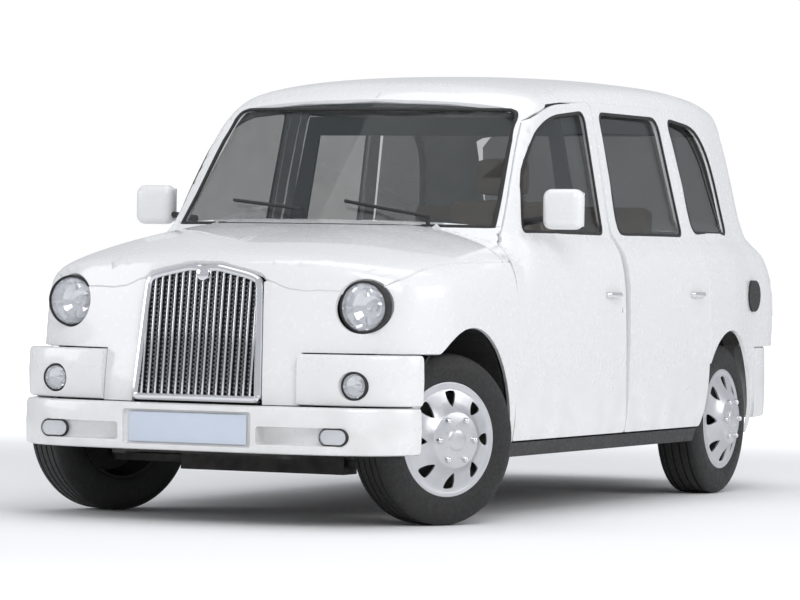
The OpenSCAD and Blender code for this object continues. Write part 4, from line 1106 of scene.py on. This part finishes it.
# %% Seats
def pad(name, low, high, seams, crown=0.022, tilt=0.0, pivot=None, replaces=()):
    low, high = Vector(low), Vector(high)
    size, middle = high - low, (low + high) / 2
    bm = box_piece(low, high, 0.030, 3)
    bmesh.ops.subdivide_edges(bm, edges=[e for e in bm.edges if e.calc_length() > 0.08], cuts=9,
                              use_grid_fill=True)
    seam_depth, seam_width = 0.010, 0.012
    for v in bm.verts:
        part = [(v.co[i] - middle[i]) / (size[i] / 2) for i in range(3)]
        axis = max(range(3), key=lambda i: abs(part[i]))
        swell = 1.0
        for i in range(3):
            if i != axis:
                swell *= max(0.0, 1 - part[i] ** 2)
        push = -crown * (1 - swell) * 0.5
        for at in seams:
            push -= seam_depth * math.exp(-((v.co.x - at) / seam_width) ** 2)
        v.co[axis] += push * (1 if part[axis] > 0 else -1)
    for _ in range(2):
        bmesh.ops.smooth_vert(bm, verts=bm.verts, factor=0.4, use_axis_x=True, use_axis_y=True,
                              use_axis_z=True)
    if tilt:
        bmesh.ops.rotate(bm, verts=bm.verts, cent=pivot, matrix=Matrix.Rotation(tilt, 3, "X"))
    bmesh.ops.recalc_face_normals(bm, faces=bm.faces)
    obj = piece(name, bm, cloth_tan, replaces=replaces, slot="seat_cloth", smooth=60)


pad("driver_cushion", (0.137, -0.618, 0.615), (0.603, -0.162, 0.750), (0.25, 0.49),
    replaces=("driver_seat",))
pad("driver_back", (0.140, -0.200, 0.740), (0.600, -0.075, 1.290), (0.25, 0.49))
pad("driver_headrest", (0.255, -0.190, 1.300), (0.485, -0.085, 1.465), ())
pad("rear_cushion", (-0.575, 0.612, 0.560), (0.575, 1.020, 0.750), (-0.2, 0.2), replaces=("rear_seat",))
pad("rear_back", (-0.575, 0.900, 0.740), (0.575, 1.030, 1.290), (-0.2, 0.2), tilt=-0.2,
    pivot=Vector((0, 0.965, 0.74)))
plinths = gather(box_piece((0.160, -0.60, 0.380), (0.580, -0.18, 0.618), 0.012),
                 box_piece((-0.57, 0.63, 0.374), (0.57, 1.06, 0.565), 0.012))
piece("seat_plinths", plinths, trim_grey, slot="black_plastic")
print("seats set")

# %% [markdown]
# CAD nodes that keep their own shape get a finish here, by name.

# %% Finishes of the frame's own parts
KEPT = {black_plastic: ("front_wheelhouses", "rear_wheelhouses", "wipers", "fuel_cap", "dashboard",
                        "steering_wheel"),
        dark_steel: ("frame_rails", "floor_pan", "bulkhead", "front_axle", "rear_axle", "engine_block",
                     "knuckle_left", "knuckle_right")}
finish_of = {name: finish for finish, names in KEPT.items() for name in names}
for name, node in frame["nodes"].items():
    node.data.materials.clear()
    word = name if name == "rear_window" else name.split("_")[0]
    node.data.materials.append(finish_of.get(name) or {
        "tyre": black_rubber, "rim": silver, "glass": window_glass, "windscreen": window_glass,
        "quarter": privacy_glass, "rear_window": privacy_glass, "grille": chrome, "headlamps": lens_glass,
                                                       "fog": lens_glass,
        "driver": cloth_tan, "partition": trim_grey, "number": plate_blank, "tail": red_lens
    }.get(word, white_paint))

# %% [markdown]
# The studio is plain: a pale floor, a pale world, and large soft lamps. The lamps are set so that a
# colour renders about as it is written, and a white backdrop shows only to the camera, so it adds no
# light to the paint.


# %% Floor, light and camera
def stage_material(name, colour):
    made = bpy.data.materials.new(name)
    made.use_nodes = True
    tree = made.node_tree
    shader = tree.nodes["Principled BSDF"]
    shader.inputs["Base Color"].default_value = (*colour, 1)
    shader.inputs["Roughness"].default_value = 0.9
    place = Value(tree, tree.nodes.new("ShaderNodeTexCoord").outputs["Object"])
    seen = Value(tree, tree.nodes.new("ShaderNodeLightPath").outputs["Is Camera Ray"])
    far = (place.part(0) * place.part(0) + place.part(1) * place.part(1)).between(12, 80)
    tree.links.new((far * seen).mix((0, 0, 0), (1, 1, 1)).socket, shader.inputs["Emission Color"])
    shader.inputs["Emission Strength"].default_value = 1.0
    return made


floor_bm = bmesh.new()
bmesh.ops.create_grid(floor_bm, x_segments=1, y_segments=1, size=60)
floor_mesh = bpy.data.meshes.new("floor")
floor_bm.to_mesh(floor_mesh)
floor_bm.free()
floor = bpy.data.objects.new("floor", floor_mesh)
bpy.context.scene.collection.objects.link(floor)
floor_mesh.materials.append(stage_material("floor_paper", (0.95, 0.95, 0.95)))

world = bpy.data.worlds.new("studio")
bpy.context.scene.world = world
world.use_nodes = True
world.node_tree.nodes["Background"].inputs[0].default_value = (0.93, 0.95, 1, 1)
world.node_tree.nodes["Background"].inputs[1].default_value = 0.62
backdrop = world.node_tree.nodes.new("ShaderNodeBackground")
backdrop.inputs[0].default_value = (1, 1, 1, 1)
blend = world.node_tree.nodes.new("ShaderNodeMixShader")
ray = world.node_tree.nodes.new("ShaderNodeLightPath")
for start, end in ((ray.outputs["Is Camera Ray"], blend.inputs[0]),
                   (world.node_tree.nodes["Background"].outputs[0], blend.inputs[1]),
                   (backdrop.outputs[0], blend.inputs[2]),
                   (blend.outputs[0], world.node_tree.nodes["World Output"].inputs[0])):
    world.node_tree.links.new(start, end)


def lamp(name, place, aim, size, power, colour=(1, 1, 1)):
    data = bpy.data.lights.new(name, "AREA")
    data.shape, data.size, data.size_y, data.energy, data.color = "RECTANGLE", size[0], size[1], power, colour
    made = bpy.data.objects.new(name, data)
    bpy.context.scene.collection.objects.link(made)
    made.location = place
    made.rotation_mode = "QUATERNION"
    made.rotation_quaternion = (Vector(aim) - Vector(place)).to_track_quat("-Z", "Y")


lamp("key", (5.5, -7.5, 6.5), (0, 0, 0.7), (5, 4), 300)
lamp("side", (9, 1.5, 4.5), (0, 0.3, 0.9), (6, 3), 170)
lamp("fill", (-8, -6, 3.5), (0, -1.5, 0.8), (5, 3), 110)
lamp("top", (0, 0.5, 7.5), (0, 0, 0), (6, 7), 120)

camera_data = bpy.data.cameras.new("camera")
camera = bpy.data.objects.new("camera", camera_data)
bpy.context.scene.collection.objects.link(camera)
bpy.context.scene.camera = camera
camera_data.sensor_width = 36
camera_data.lens = 4287.8 / 800 * 36
camera_data.clip_end = 200
yaw, roll = math.radians(24.747), math.radians(0.950)
ahead = Vector((-0.41859, 0.90812, -0.01030)).normalized()
level = Vector((math.cos(yaw), math.sin(yaw), 0))
above = level.cross(ahead)
right = level * math.cos(roll) + above * math.sin(roll)
up = above * math.cos(roll) - level * math.sin(roll)
camera.matrix_world = Matrix.Translation((7.586, -16.798, 1.044)) @ Matrix((right, up,
        -ahead)).transposed().to_4x4()
camera_data.shift_x, camera_data.shift_y = -1.4 / 800, -0.2 / 800
bpy.context.scene.view_settings.view_transform = "Standard"
print("lens", round(camera_data.lens, 1), "mm")
